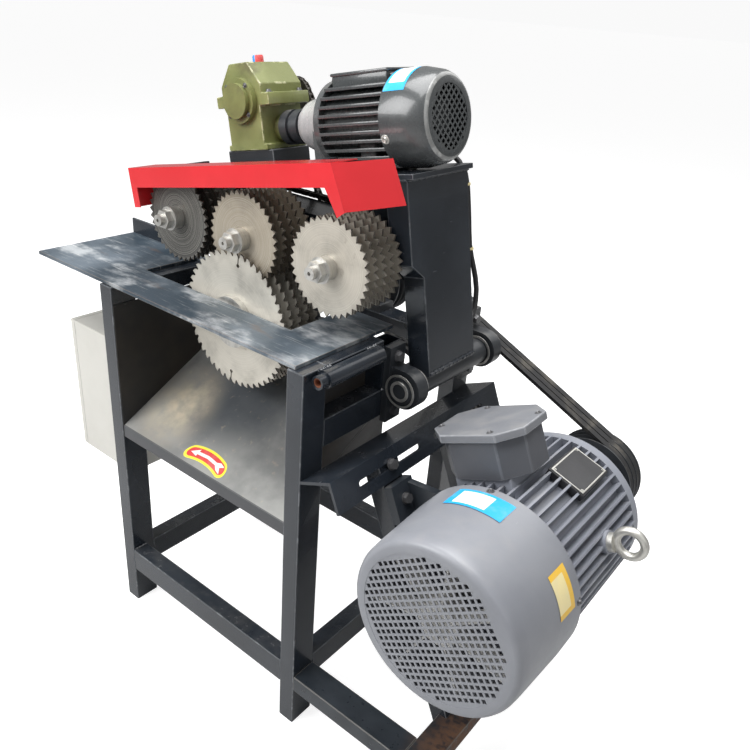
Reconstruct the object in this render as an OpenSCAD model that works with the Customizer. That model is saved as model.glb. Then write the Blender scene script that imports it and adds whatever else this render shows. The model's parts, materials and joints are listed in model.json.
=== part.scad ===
// Multi rip saw: welded frame and slotted table, gang of saw blades below, swinging feed head above
// X runs along the feed, Y along the saw arbor and Z up; the frame's back stays put as its width changes

/* [Frame] */
// Length of the frame over its legs
frame_l = 600; // [590:5:620]
// Width of the frame over its legs
frame_w = 570; // [565:1:580]
// Height of the legs
leg_h = 865; // [860:1:875]
// Narrow side of the frame tube
tube_a = 40; // [38:1:42]
// Wide side of the frame tube
tube_b = 60; // [58:1:62]
// Wall of the frame tube
tube_wall = 3; // [2:0.5:5]
// Height of the low rails above the floor
low_rail_z = 103; // [95:1:110]
// Reach of the base beyond the right legs
base_reach = 345; // [342:1:350]

/* [Table] */
// Overhang of the table beyond the left legs
table_overhang = 250; // [230:5:280]
// Thickness of the table plate
table_t = 8; // [6:1:10]
// Length of the blade opening in the table
opening_l = 450; // [440:1:460]
// Width of the blade opening in the table
opening_w = 142; // [140:1:144]
// Height of the infeed fence above the table
fence_h = 37; // [25:1:50]
// Length of the infeed fence
fence_l = 250; // [150:5:255]

/* [Chip chute] */
// Height of the chute's front lip above the floor
chute_lip_z = 500; // [470:5:505]
// Depth of the chute's front lip
chute_lip_h = 30; // [20:1:35]
// Slope of the chute floor in degrees
chute_slope = 28; // [24:0.5:29]

/* [Saw arbor] */
// Distance of the arbor to the left of the right legs' outer face
arbor_left = 327; // [322:1:332]
// Depth of the arbor axis below the table top
arbor_drop = 46; // [44:1:50]
// Diameter of the arbor shaft
arbor_d = 45; // [40:1:50]
// Diameter of a saw blade
blade_d = 300; // [280:1:305]
// Thickness of a saw blade
blade_t = 3.2; // [2:0.2:5]
// Teeth on a saw blade
blade_teeth = 48; // [36:4:60]

/* [Feed discs] */
// Diameter of a toothed feed disc
disc_d = 192; // [180:1:196]
// Thickness of a feed disc
disc_t = 5; // [4:0.5:7]
// Teeth on a feed disc
disc_teeth = 36; // [28:4:44]
// Depth of the feed disc teeth
disc_tooth_h = 9.5; // [6:0.5:12]
// Diameter of a feed shaft
feed_shaft_d = 30; // [26:1:32]
// Height of the feed shafts above the table top at rest
feed_rise = 131; // [129:1:134]

/* [Feed head] */
// Height of the swing pivot above the floor
pivot_z = 767; // [764:1:770]
// Tilt of the head's top plate and column at rest in degrees
head_tilt = 11; // [10.5:0.1:11.5]
// Depth of the column
column_t = 50; // [46:1:54]
// Thickness of the top plate
plate_t = 10; // [8:1:12]
// Width of the guard's top
guard_depth = 70; // [50:1:80]
// Height of the guard's front strip
guard_h = 41; // [34:1:46]

/* [Motors] */
// Radius of the main motor's fan cowl
mm_cowl_r = 172; // [168:1:174]
// Diameter of the main motor's shaft
mm_shaft_d = 48; // [42:1:50]
// Lean of the motor cradle from upright in degrees
cradle_lean = 24; // [23.5:0.1:24.5]
// Pitch diameter of both belt pulleys
pulley_d = 190; // [180:2:200]
// Radius of the feed motor's fan cowl
fm_cowl_r = 88; // [84:1:89]
// Diameter of the feed motor's shaft
fm_shaft_d = 24; // [20:1:26]

/* [Control box] */
// Depth of the control box along the feed
box_l = 190; // [150:1:200]
// Width of the control box
box_w = 300; // [250:1:320]
// Height of the control box
box_h = 349; // [300:1:360]

/* [Hidden] */
$fn = 64;

// Clearances and small common sizes
overrun = 2;
run_gap = 0.05;
free_gap = 0.4;
sheet_t = 2;
bolt_d = 12;
bolt_head_h = 8;
bolt_head_d = 21;
washer_d = 24;
washer_t = 2.5;

// Frame heights
side_rail_drop = 110;
table_z = leg_h + table_t;
side_rail_top = leg_h - side_rail_drop;
side_rail_z = side_rail_top - tube_b;
base_top = low_rail_z + tube_a;
cradle_x = base_reach - tube_b;

// Back of the frame, where the belt drive stands, and its front; welded tubes stop a hair short of each other
frame_back = 570;
frame_front = frame_back - frame_w;
weld_gap = 0.05;

// Table and fence
table_inset = 25;
table_setback = 6;
table_w = 278;
table_left = -frame_l - table_overhang;
opening_x = -591;
opening_y = 113;
fence_y = 262;
fence_t = 6;

// Chute
chute_t = 3;
chute_y = 2;
chute_end = 296;
chute_k = tan(chute_slope);
chute_drop = chute_t / cos(chute_slope);
chute_top = chute_lip_z + chute_lip_h;
panel_top = leg_h - tube_a;

// Saw arbor, with blades and discs at the same spacing and half a step apart
arbor_x = -arbor_left;
arbor_z = table_z - arbor_drop;
arbor_bearing = [190, 54, 54];
arbor_span = 146;
arbor_bearing_y = 330;
rear_y = frame_back - tube_b / 2;
stack_n = 5;
stack_pitch = 24;
blade_y = 138;
disc_y = blade_y + stack_pitch / 2;
flange_d = 110;
flange_t = 14;
blade_spacer_d = 80;
arbor_nut_d = 64;
arbor_nut_h = 22;
arbor_tip = 6;
blade_front = blade_y - blade_t / 2;
blade_rear = blade_y + (stack_n - 1) * stack_pitch + blade_t / 2;
arbor_y0 = blade_front - flange_t - arbor_nut_h - arbor_tip;
tooth_back_r = 2.5;
gullet_depth = 11;
gullet_rise = 1.6;
tooth_back_share = 0.43;
gullet_share = 0.74;
gullet_end_share = 0.92;
slot_n = 4;
slot_cut_w = 2.5;
slot_cut_l = 27;
slot_hole_r = 4;

// Pillow blocks
block_foot_share = 0.33;
block_neck_share = 0.16;
block_ring_share = 0.95;

// Belt drive
belt_n = 3;
belt_pitch = 19;
belt_h = 10;
belt_in = 6.5;
belt_foot_w = 9.4;
belt_top_w = 16;
groove_in = 8;
groove_foot_w = 10.6;
groove_top_w = 18;
pulley_lip = 5;
pulley_edge = 12;
pulley_gap = 8;
pulley_w = (belt_n - 1) * belt_pitch + 2 * pulley_edge;
pulley_y = frame_back + pulley_gap;
pulley_hub_d = 84;
pulley_rim_t = 24;
pulley_recess = 18;

// Feed shafts in chain pitches of each other
chain_pitch = 12.7;
right_run = 18;
left_run = 16;
reducer_run = 22;
feed_right = 84;
feed_z = table_z + feed_rise;
feed_x = [-feed_right, -feed_right - right_run * chain_pitch, -feed_right - (right_run + left_run) * chain_pitch];
disc_front = disc_y - disc_t / 2;
disc_rear = disc_y + (stack_n - 1) * stack_pitch + disc_t / 2;
feed_tip_y = 96;
feed_tip_l = 28;
feed_thread_d = 24;
feed_nut_y = 108;
feed_nut_d = 41;
feed_washer_d = 50;
feed_washer_t = 5;
feed_spacer_d = 46;
feed_collar_d = 52;
centre_hole_d = 7;
centre_hole_l = 9;
sleeve_y = 262;
sleeve_l = 143;
sleeve_d = 68;

// Sprockets and chains
sprocket_teeth = 20;
sprocket_r = chain_pitch / (2 * sin(180 / sprocket_teeth));
roller_r = 4.25;
roller_gap = 0.3;
sprocket_tip = 2.7;
tooth_flare_share = 1.4;
sprocket_t = 6.6;
chain_half = 3.8;
link_t = 3;
link_r = 5.6;
clear_pins = 2;
chain_ys = [415, 431, 447];
shaft_end_y = 455;

// Head on its swing pivot; in its own frame x runs along the tilted top plate
pivot_bearing = [165, 48, 42.9];
pivot_span = 121;
pivot_x = pivot_bearing[2];
post_y = 225;
post_top_drop = 15;
front_pivot_y = post_y + tube_b / 2;
pivot_shaft_d = 30;
pivot_tube_d = 56;
pivot_tube_gap = 27;
pivot_shaft_over = 26;
plate_rise = 400;
plate_top = plate_rise + plate_t;
column_face = 32;
column_x = column_face - column_t;
column_y = [254, 290, 456];
column_step = [215, 244];
column_foot = 14;
column_wall = 8;
pocket_foot = 60;
plate_x = [-560, 45];
plate_y = [254, 436, 455];
plate_notch_x = -60;
arm_low = 40;
arm_h = 76;
arm_z = feed_z - arm_low;
arm_y = [300, 400];
arm_x = -frame_l;
arm_wall = 6;
arm_reach = 760;
stub_l = 40;
stub_h = 40;

// Guard sheet
guard_y = 115;
guard_x = [-604, -20];
guard_top = 445;
guard_skirt = 83;
guard_wall_w = 60;
guard_lip = 20;
wing_flare = 15.5;
wing_yaw = 17.5;
wing_l = 125;
wing_drop = 15;
wing_h = 84;
wing_lip = 14;
bracket_x = [-530, -150];
bracket_w = 14;
bracket_t = 3;
bracket_y = [130, 262, 288];

// Worm reducer on its block
reducer_y = [285, 405];
reducer_l = 120;
reducer_block_h = 50;
block_over = 10;
block_y = [290, 400];
worm_rise = 40;
worm_centres = 60;
reducer_foot_h = 12;
reducer_waist = 8;
split_h = 24;
split_over = 20;
split_lug_w = 34;
roof_h = 61;
roof_flat = 56;
roof_step = 18;
boss_d = 90;
boss_l = 12;
rear_boss_d = 72;
cap_d = 70;
cap_l = 10;
worm_cap_d = 54;
output_d = 25;
output_y0 = 300;
worm_d = 22;
worm_l = 95;
plug_d = 16;
plug_h = 14;
reducer_z = plate_top + reducer_block_h;
worm_z = reducer_z + worm_rise;
output_z = worm_z + worm_centres;
roof_z = output_z + split_h / 2;
drive_y = (reducer_y[0] + reducer_y[1]) / 2;

// Reducer's place along the plate, where its chain to the middle shaft comes out in whole links
mid_dx = feed_x[1] - pivot_x;
mid_dz = feed_z - pivot_z;
mid_along = mid_dx * cos(head_tilt) + mid_dz * sin(head_tilt);
mid_above = mid_dz * cos(head_tilt) - mid_dx * sin(head_tilt);
reducer_c = reducer_run * chain_pitch;
output_along = mid_along - sqrt(pow(reducer_c, 2) - pow(output_z - mid_above, 2));
output_x = pivot_x + output_along * cos(head_tilt) - output_z * sin(head_tilt);
output_up = pivot_z + output_along * sin(head_tilt) + output_z * cos(head_tilt);
reducer_run_angle = atan2(output_up - feed_z, output_x - feed_x[1]);
reducer_x = output_along - reducer_l / 2;
reducer_right = output_along + reducer_l / 2;

// Feed motor, measured back from its cowl face
fm_cowl_l = 95;
fm_body_l = 150;
fm_nose = [[82, 0], [82, 14], [60, 34], [48, 80], [40, 96]];
fm_total = fm_cowl_l + fm_body_l + fm_nose[4][1];
coupling_l = 50;
coupling_d = 70;
coupling_neck_d = 60;
coupling_neck_l = 10;
coupling_gap = 3;
fm_nose_gap = 12;
coupling_x = reducer_right + cap_l + coupling_gap;
fm_face = coupling_x + coupling_l + fm_nose_gap + fm_total;
fm_axis_h = worm_z - plate_top;
fm_core_r = 68;
fm_fin_r = 86;
fm_fin_n = 6;
fm_top_fin_n = 2;
fm_fin_pitch = 12;
fm_fin_t = 4.5;
fm_foot_y = [150, 270];
fm_foot_l = 36;
fm_foot_x = [44, 86];
fm_foot_t = 10;
fm_web_x = [46, 56];
fm_bolt_x = 70;
fm_box = [84, 110, 26];
fm_box_y = 170;
fm_pad_z = 87;

// Main motor, measured back from its cowl face
mm_face_y = -30;
mm_x = 330;
mm_z = 528;
mm_axis_h = 180;
mm_cowl_l = 198;
mm_body_l = 270;
mm_nose = [[160, 0], [160, 22], [118, 48], [76, 60], [70, 84]];
mm_shaft_out = 104;
mm_total = mm_cowl_l + mm_body_l + mm_nose[4][1];
mm_core_r = 142;
mm_fin_r = 162;
mm_fin_n = 48;
mm_fin_t = 4.5;
mm_foot_y = 195;
mm_foot_pitch = 241;
mm_foot_l = 64;
mm_foot_x = [96, 174];
mm_foot_t = 20;
mm_web_t = 16;
mm_web_x = [100, 166, 137, 112];
mm_web_z = -75;
mm_bolt_x = 139.5;
mm_pad = [120, 124, 168];
mm_box_y = 297;
terminal_size = [180, 144, 76];
terminal_cut = 40;
lid_t = 16;
lid_over = 9;
eye_y = 345;
eye_boss_d = 44;
eye_boss_h = 166;
eye_collar_d = 36;
eye_collar_h = 10;
eye_ring_r = 26;
eye_wire_r = 8;
eye_c = 204;

// Cowl sheets, fans and grilles
cowl_t = 3;
cowl_edge = 7;
cowl_round = 12;
cowl_inset = 15;
cowl_straight = 48;
cowl_seat = 12;
mm_hole = 10.5;
mm_hole_pitch = 15;
mm_grille_r = 138;
fm_hole = 7;
fm_hole_pitch = 10.5;
fm_grille_r = 62;
fan_start = 18;
fan_l = 44;
fan_n = 7;
fan_t = 4;
mm_fan_gap = 24;
fm_fan_gap = 12;
fan_hub = 16;

// Leaning motor cradle, measured from the main motor's axis
bar_top = 238;
bar_low = 470;
bracket_low = 180;
bracket_top = 244;
bracket_sheet = 6;
bracket_deep = 110;
slot_l = 180;
slot_w = 13;
slot_mid = 210;
foot_l = 60;

// Control box on the left legs
box_y = 40;
box_top = 709;
box_z = box_top - box_h;
box_wall = 2;
door_gap = 1;
door_t = 14;
knuckle_d = 10;
knuckle_l = 22;
knuckle_off = 6;
knuckle_shares = [0.15, 0.75];
leaf_t = 2;
leaf_l = 22;
knob_d = 22;
knob_l = 10;
knob_in = 22;
gear_plate = [3, 220, 260];
gear_blocks = [[70, 90, 110], [60, 70, 80]];
gear_gap = 12;

// Outfeed socket on the right front leg
socket_x = 17;
socket_drop = 13;
socket_y = 35;
socket_l = 155;
socket_d = 34;
socket_pin_d = 26;
socket_pin_bore = 18;
socket_pin_y = 17;
weld_l = 24;
weld_h = 24;
weld_t = 10;

// Motor cable from the feed motor's side down the column and into its foot, in the head's own frame
cable_d = 11;
cable_sides = 10;
cable_side = [1, 0.2, 0];
cable_route = [
    [-60, 430.6, 486], [-60, 444, 483], [-56, 455, 474], [-42, 462, 456], [-20, 464, 434], [0, 463, 412],
    [11, 462, 388], [12, 461.6, 360], [12, 461.6, 332], [12, 461.6, 304], [12, 461.6, 276], [12, 463.5, 248],
    [12, 470, 222], [12, 481, 196], [12, 492, 170], [12, 499, 145], [12, 500, 122], [12, 496, 104],
    [12, 486, 90], [12, 472, 82], [12, 457, 80.5]
];

// Outer limits in plan, which put the origin under the middle of the machine
x_max = mm_x + cos(cradle_lean) * eye_c + eye_ring_r + eye_wire_r;
y_max = max(pulley_y + pulley_w + arbor_tip, mm_face_y + mm_total + mm_shaft_out);
mid_x = (table_left + x_max) / 2;
mid_y = (mm_face_y + y_max) / 2;

paint = "#33383f";
bare_steel = "#7d8791";
bright_steel = "#c9c6bb";
motor_grey = "#7b7f88";
dark_grey = "#4a4e52";
olive = "#98995f";
guard_red = "#ee4247";
cast_black = "#26282b";
belt_black = "#1b1b1c";
cream = "#e9e6dc";

module in_plan() { translate([-mid_x, -mid_y, 0]) children(); }
module on_head() { in_plan() translate([pivot_x, 0, pivot_z]) rotate([0, -head_tilt, 0]) children(); }
module on_motor() { in_plan() translate([mm_x, mm_face_y, mm_z]) rotate([0, 90 - cradle_lean, 0]) children(); }
module on_feed_motor() { on_head() translate([fm_face, drive_y, worm_z]) rotate([0, 0, 90]) children(); }
// Upright plane facing the front, with its own y up and its own z toward the front
module on_plane(x, y, z) { in_plan() translate([x, y, z]) rotate([90, 0, 0]) children(); }
// Turns a shape that stands along Z to lie along +Y
module along_y() { rotate([-90, 0, 0]) children(); }
// Extrudes an outline of Y and Z values along +X
module profile_x(l) { rotate([90, 0, 90]) linear_extrude(l) children(); }
// Extrudes an outline of X and Z values along +Y
module profile_y(l) { translate([0, l, 0]) rotate([90, 0, 0]) linear_extrude(l) children(); }
module ring_y(y, l, outer_d, inner_d) {
    translate([0, y, 0]) difference() {
        along_y() cylinder(h = l, d = outer_d);
        translate([0, -overrun, 0]) along_y() cylinder(h = l + 2 * overrun, d = inner_d);
    }
}

// Rectangular tube, open at both ends of the given axis
module open_tube(size, axis) {
    start = [for (i = [0:2]) i == axis ? -overrun : tube_wall];
    inner = [for (i = [0:2]) size[i] - 2 * start[i]];
    difference() {
        cube(size);
        translate(start) cube(inner);
    }
}

// Hexagon bolt with its washer resting on z = 0 and a shank of the given length below
module bolt(shank) {
    translate([0, 0, -shank]) cylinder(h = shank, d = bolt_d);
    cylinder(h = washer_t, d = washer_d);
    translate([0, 0, washer_t]) cylinder(h = bolt_head_h, d = bolt_head_d, $fn = 6);
}

module legs() {
    color(paint) in_plan()
        for (x = [-frame_l, -tube_a], y = [frame_front, frame_back - tube_b])
            translate([x, y, 0]) open_tube([tube_a, tube_b, leg_h], 2);
}

module low_rails() {
    color(paint) in_plan() translate([0, 0, low_rail_z]) {
        for (y = [frame_front, frame_back - tube_a])
            translate([tube_a - frame_l, y, 0]) open_tube([frame_l - 2 * tube_a, tube_a, tube_b], 0);
        for (x = [-frame_l, -tube_a])
            translate([x, frame_front + tube_b, 0]) open_tube([tube_a, frame_w - 2 * tube_b, tube_b], 1);
    }
}

// Extension that carries the motor, on two short feet of its own
module base_rails() {
    color(paint) in_plan() {
        for (y = [frame_front, frame_back - tube_b])
            translate([0, y, low_rail_z]) open_tube([cradle_x - weld_gap, tube_b, tube_a], 0);
        for (y = [frame_front, frame_back - foot_l])
            translate([cradle_x, y, 0]) open_tube([tube_b, foot_l, low_rail_z - weld_gap], 2);
        translate([cradle_x, frame_front, low_rail_z]) open_tube([tube_b, frame_w, tube_a], 1);
    }
}

// Side rails, table bearers and the two beams under the arbor bearings
module upper_rails() {
    beam_z = arbor_z - arbor_bearing[2] - tube_a;
    rail_y = frame_front + tube_b;
    color(paint) in_plan() {
        for (x = [-frame_l, -tube_a])
            translate([x, rail_y, side_rail_z]) open_tube([tube_a, frame_w - 2 * tube_b, tube_b], 1);
        for (y = [arbor_bearing_y, rear_y])
            translate([tube_a + weld_gap - frame_l, y - tube_b / 2, beam_z])
                open_tube([frame_l - 2 * tube_a - 2 * weld_gap, tube_b, tube_a], 0);
        translate([-frame_l, rail_y, leg_h - tube_a]) open_tube([tube_a, frame_w - 2 * tube_b, tube_a], 1);
        translate([-tube_a, rail_y, leg_h - tube_a]) open_tube([tube_a, post_y - rail_y, tube_a], 1);
    }
}

module pivot_post() {
    color(paint) in_plan() translate([-tube_a, post_y, side_rail_top])
        open_tube([tube_a, tube_b, side_rail_drop - post_top_drop], 2);
}

// Motor bars under the feet, cut to butt against the base's cross rail
module motor_bars() {
    color(paint) difference() {
        on_motor()
            for (y = [0, mm_foot_pitch])
                translate([-bar_top, mm_foot_y + y - tube_b / 2, -mm_axis_h - tube_a])
                    open_tube([bar_top + bar_low, tube_b, tube_a], 0);
        in_plan() {
            translate([cradle_x, frame_front - overrun, 0]) cube([base_reach, frame_w, base_top]);
            translate([0, frame_front - overrun, -frame_w]) cube([2 * base_reach, frame_w, low_rail_z + frame_w]);
        }
    }
}

// Bent sheet across the bars, slotted for shifting them, with a flange to the legs
module slotted_bracket() {
    color(paint) difference() {
        on_motor() translate([0, frame_front - mm_face_y, -mm_axis_h]) {
            translate([-bracket_top, 0, 0]) difference() {
                cube([bracket_top - bracket_low, frame_w, bracket_sheet]);
                for (y = [0, mm_foot_pitch])
                    translate([bracket_top - slot_mid, mm_face_y - frame_front + mm_foot_y + y, -overrun]) {
                        translate([-slot_w / 2, -slot_l / 2, 0])
                            cube([slot_w, slot_l, bracket_sheet + 2 * overrun]);
                        for (end = [-1, 1])
                            translate([0, end * slot_l / 2, 0])
                                cylinder(h = bracket_sheet + 2 * overrun, d = slot_w);
                    }
            }
            translate([-bracket_top, 0, -bracket_deep]) cube([bracket_top - bar_top, frame_w, bracket_deep]);
        }
        in_plan() translate([-frame_l, frame_front - overrun, 0]) cube([frame_l, frame_w + 2 * overrun, leg_h]);
    }
}

module table_plate() {
    color(bare_steel) in_plan() difference() {
        translate([table_left, table_setback, leg_h]) cube([-table_inset - table_left, table_w, table_t]);
        translate([opening_x, opening_y, leg_h - overrun]) cube([opening_l, opening_w, table_t + 2 * overrun]);
    }
}

module infeed_fence() {
    color(bare_steel) in_plan() translate([table_left, fence_y, table_z]) cube([fence_l, fence_t, fence_h]);
}

function chute_at(y) = chute_top + (y - chute_y) * chute_k;

module chip_chute() {
    lip_back = chute_y + chute_t;
    color(bare_steel) in_plan() translate([tube_a + sheet_t - frame_l, 0, 0])
        profile_x(frame_l - 2 * tube_a - sheet_t) polygon([
            [chute_y, chute_lip_z], [lip_back, chute_lip_z], [lip_back, chute_at(lip_back) - chute_drop],
            [chute_end, chute_at(chute_end) - chute_drop], [chute_end, chute_at(chute_end)], [chute_y, chute_top]
        ]);
}

module side_panel() {
    color(paint) in_plan() translate([tube_a - frame_l, 0, 0]) profile_x(sheet_t) polygon([
        [chute_y, chute_lip_z], [chute_y + chute_t, chute_lip_z],
        [chute_end, chute_at(chute_end) - chute_drop], [chute_end, panel_top], [chute_y, panel_top]
    ]);
}

// Hinge barrel welded to the leg, with a tube in it for an outfeed table
module outfeed_socket() {
    pin_l = socket_l + socket_y - socket_pin_y;
    color(paint) in_plan() translate([socket_x, 0, leg_h - socket_drop]) {
        difference() {
            union() {
                translate([0, socket_y, 0]) along_y() cylinder(h = socket_l, d = socket_d);
                for (y = [socket_y, socket_y + socket_l - weld_l])
                    translate([-socket_x, y, -weld_h / 2]) cube([weld_t, weld_l, weld_h]);
            }
            along_y() cylinder(h = socket_y + socket_l + overrun, d = socket_pin_d);
        }
        ring_y(socket_pin_y, pin_l, socket_pin_d, socket_pin_bore);
    }
}

// Pillow block for a shaft along Y, with its base at z = -size[2]
module pillow_block(size, shaft_d, span) {
    foot_t = size[2] * block_foot_share;
    ring_r = size[2] * block_ring_share;
    neck = size[1] * block_neck_share;
    insert_r = (ring_r + shaft_d / 2) / 2;
    difference() {
        union() {
            translate([-size[0] / 2, -size[1] / 2, -size[2]]) cube([size[0], size[1], foot_t]);
            translate([-ring_r, neck - size[1] / 2, -size[2]]) cube([2 * ring_r, size[1] - 2 * neck, size[2]]);
            translate([0, neck - size[1] / 2, 0]) along_y() cylinder(h = size[1] - 2 * neck, r = ring_r);
            translate([0, -size[1] / 2, 0]) along_y() cylinder(h = size[1], r = insert_r);
        }
        translate([0, -size[1], 0]) along_y() cylinder(h = 2 * size[1], d = shaft_d + 2 * run_gap);
        for (side = [-1, 1])
            translate([side * span / 2, 0, -size[2] - overrun])
                cylinder(h = foot_t + 2 * overrun, d = bolt_d + 2 * free_gap);
    }
}

module at_arbor_bearings() {
    in_plan() for (y = [arbor_bearing_y, rear_y]) translate([arbor_x, y, arbor_z]) children();
}
module at_pivot_bearings() {
    in_plan() for (y = [front_pivot_y, rear_y]) translate([pivot_x, y, pivot_z]) rotate([0, 90, 0]) children();
}
module pivot_bearings() {
    color(cast_black) at_pivot_bearings() pillow_block(pivot_bearing, pivot_shaft_d, pivot_span);
}
module arbor_bearings() {
    color(cast_black) at_arbor_bearings() pillow_block(arbor_bearing, arbor_d, arbor_span);
}
module block_bolts(size, span) {
    foot_t = size[2] * block_foot_share;
    for (side = [-1, 1]) translate([side * span / 2, 0, foot_t - size[2]]) bolt(foot_t);
}
module bearing_bolts() {
    color(bright_steel) {
        at_pivot_bearings() block_bolts(pivot_bearing, pivot_span);
        at_arbor_bearings() block_bolts(arbor_bearing, arbor_span);
    }
}

// Fan cowl along +Y: a tapered shell with a grid of square holes in its flat face
module fan_cowl(r, l, hole, pitch, grille_r) {
    face_r = r - cowl_edge - cowl_round;
    n = floor(grille_r / pitch);
    along_y() {
        rotate_extrude() polygon([
            [face_r, 0], [r - cowl_edge, cowl_inset], [r, l - cowl_straight], [r, l], [r - cowl_t, l],
            [r - cowl_t, l - cowl_straight], [r - cowl_edge - cowl_t, cowl_inset], [face_r, cowl_t]
        ]);
        linear_extrude(cowl_t) difference() {
            circle(r = face_r);
            for (i = [-n:n], j = [-n:n])
                if (norm([i, j]) * pitch < grille_r) translate([i * pitch, j * pitch]) square(hole, center = true);
        }
    }
}

// Fan of flat blades on a hub that stands a little proud of them
module fan(r, shaft_d, bore) {
    root = shaft_d / 2 + fan_hub / 2;
    translate([0, fan_start, 0]) along_y() {
        difference() {
            cylinder(h = fan_l, r = shaft_d / 2 + fan_hub);
            translate([0, 0, -overrun]) cylinder(h = fan_l + 2 * overrun, d = bore);
        }
        for (i = [1:fan_n])
            rotate([0, 0, i * 360 / fan_n]) translate([root, -fan_t / 2, overrun])
                cube([r - root, fan_t, fan_l - 2 * overrun]);
    }
}

// End shield turned from its outline, from y on
module nose(points, y) {
    last = len(points) - 1;
    translate([0, y, 0]) along_y() rotate_extrude() polygon(concat([[0, 0]], points, [[0, points[last][1]]]));
}

module main_motor_body() {
    body_y = mm_cowl_l - cowl_seat;
    color(motor_grey) on_motor() difference() {
        union() {
            translate([0, body_y, 0]) along_y() cylinder(h = cowl_seat, r = mm_cowl_r - cowl_t);
            translate([0, mm_cowl_l, 0]) along_y() linear_extrude(mm_body_l) union() {
                circle(r = mm_core_r);
                for (i = [0:mm_fin_n - 1])
                    rotate(i * 360 / mm_fin_n) translate([0, -mm_fin_t / 2]) square([mm_fin_r, mm_fin_t]);
            }
            nose(mm_nose, mm_cowl_l + mm_body_l);
            for (y = [0, mm_foot_pitch], side = [0, 1]) translate([0, mm_foot_y + y, 0]) mirror([side, 0, 0]) {
                translate([mm_foot_x[0], -mm_foot_l / 2, -mm_axis_h])
                    cube([mm_foot_x[1] - mm_foot_x[0], mm_foot_l, mm_foot_t]);
                translate([0, mm_foot_l / 2 - mm_web_t, 0]) profile_y(mm_web_t) polygon([
                    [mm_web_x[0], mm_foot_t - mm_axis_h], [mm_web_x[1], mm_foot_t - mm_axis_h],
                    [mm_web_x[2], mm_web_z], [mm_web_x[3], mm_web_z]
                ]);
            }
            translate([-mm_pad[2], mm_box_y - mm_pad[1] / 2, -mm_pad[0] / 2])
                cube([mm_pad[2], mm_pad[1], mm_pad[0]]);
            translate([0, eye_y, 0]) cylinder(h = eye_boss_h, d = eye_boss_d);
        }
        along_y() cylinder(h = mm_total + overrun, d = mm_shaft_d + 2 * run_gap);
        for (x = [-mm_bolt_x, mm_bolt_x], y = [0, mm_foot_pitch])
            translate([x, mm_foot_y + y, -mm_axis_h - overrun])
                cylinder(h = mm_foot_t + 2 * overrun, d = bolt_d + 2 * free_gap);
    }
}

module main_fan_cowl() {
    color(motor_grey) on_motor() fan_cowl(mm_cowl_r, mm_cowl_l, mm_hole, mm_hole_pitch, mm_grille_r);
}

// Outline of the terminal box with cut corners, grown by a margin
module terminal_outline(margin) {
    a = terminal_size[0] / 2 + margin;
    b = terminal_size[1] / 2 + margin;
    polygon([
        [terminal_cut - a, -b], [a - terminal_cut, -b], [a, terminal_cut - b], [a, b - terminal_cut],
        [a - terminal_cut, b], [terminal_cut - a, b], [-a, b - terminal_cut], [-a, terminal_cut - b]
    ]);
}
module terminal_box() {
    color(motor_grey) on_motor() translate([-mm_pad[2], mm_box_y, 0]) rotate([0, -90, 0])
        linear_extrude(terminal_size[2]) terminal_outline(0);
}
module terminal_lid() {
    color(motor_grey) on_motor() translate([-mm_pad[2] - terminal_size[2], mm_box_y, 0]) rotate([0, -90, 0])
        linear_extrude(lid_t) terminal_outline(lid_over);
}

module lifting_eye() {
    color(bright_steel) on_motor() translate([0, eye_y, 0]) {
        translate([0, 0, eye_boss_h]) cylinder(h = eye_collar_h, d = eye_collar_d);
        translate([0, 0, eye_c]) along_y() rotate_extrude() translate([eye_ring_r, 0]) circle(r = eye_wire_r);
    }
}

module foot_bolts() {
    color(bright_steel) on_motor() {
        for (x = [-mm_bolt_x, mm_bolt_x], y = [0, mm_foot_pitch])
            translate([x, mm_foot_y + y, mm_foot_t - mm_axis_h]) bolt(mm_foot_t);
        for (y = [0, mm_foot_pitch])
            translate([-slot_mid, mm_foot_y + y, bracket_sheet - mm_axis_h]) bolt(bracket_sheet);
    }
}

// Belt loop of two half rounds and two straights, lying flat with its width along z
module belt_loop(r, c) {
    section = [
        [r - belt_in, -belt_foot_w / 2], [r - belt_in + belt_h, -belt_top_w / 2],
        [r - belt_in + belt_h, belt_top_w / 2], [r - belt_in, belt_foot_w / 2]
    ];
    rotate([0, 0, 90]) rotate_extrude(angle = 180) polygon(section);
    translate([c, 0, 0]) rotate([0, 0, -90]) rotate_extrude(angle = 180) polygon(section);
    for (side = [0, 1]) mirror([0, side, 0]) profile_x(c) polygon(section);
}
module drive_belts() {
    dx = mm_x - arbor_x;
    dz = mm_z - arbor_z;
    color(belt_black)
        for (i = [0:belt_n - 1])
            on_plane(arbor_x, pulley_y + pulley_edge + i * belt_pitch, arbor_z) rotate([0, 0, atan2(dz, dx)])
                belt_loop(pulley_d / 2, norm([dx, dz]));
}

// Grooved pulley along +Y, with a recess in its rear face
module belt_pulley(shaft_d) {
    rim_r = pulley_d / 2 + pulley_lip;
    foot_r = pulley_d / 2 - groove_in;
    bore_r = shaft_d / 2 + run_gap;
    grooves = [for (i = [0:belt_n - 1]) let (y = pulley_edge + i * belt_pitch) each [
        [rim_r, y - groove_top_w / 2], [foot_r, y - groove_foot_w / 2],
        [foot_r, y + groove_foot_w / 2], [rim_r, y + groove_top_w / 2]
    ]];
    along_y() rotate_extrude() polygon(concat(
        [[bore_r, 0], [rim_r, 0]], grooves, [[rim_r, pulley_w], [rim_r - pulley_rim_t, pulley_w],
        [rim_r - pulley_rim_t, pulley_w - pulley_recess], [pulley_hub_d / 2, pulley_w - pulley_recess],
        [pulley_hub_d / 2, pulley_w], [bore_r, pulley_w]]
    ));
}

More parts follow.
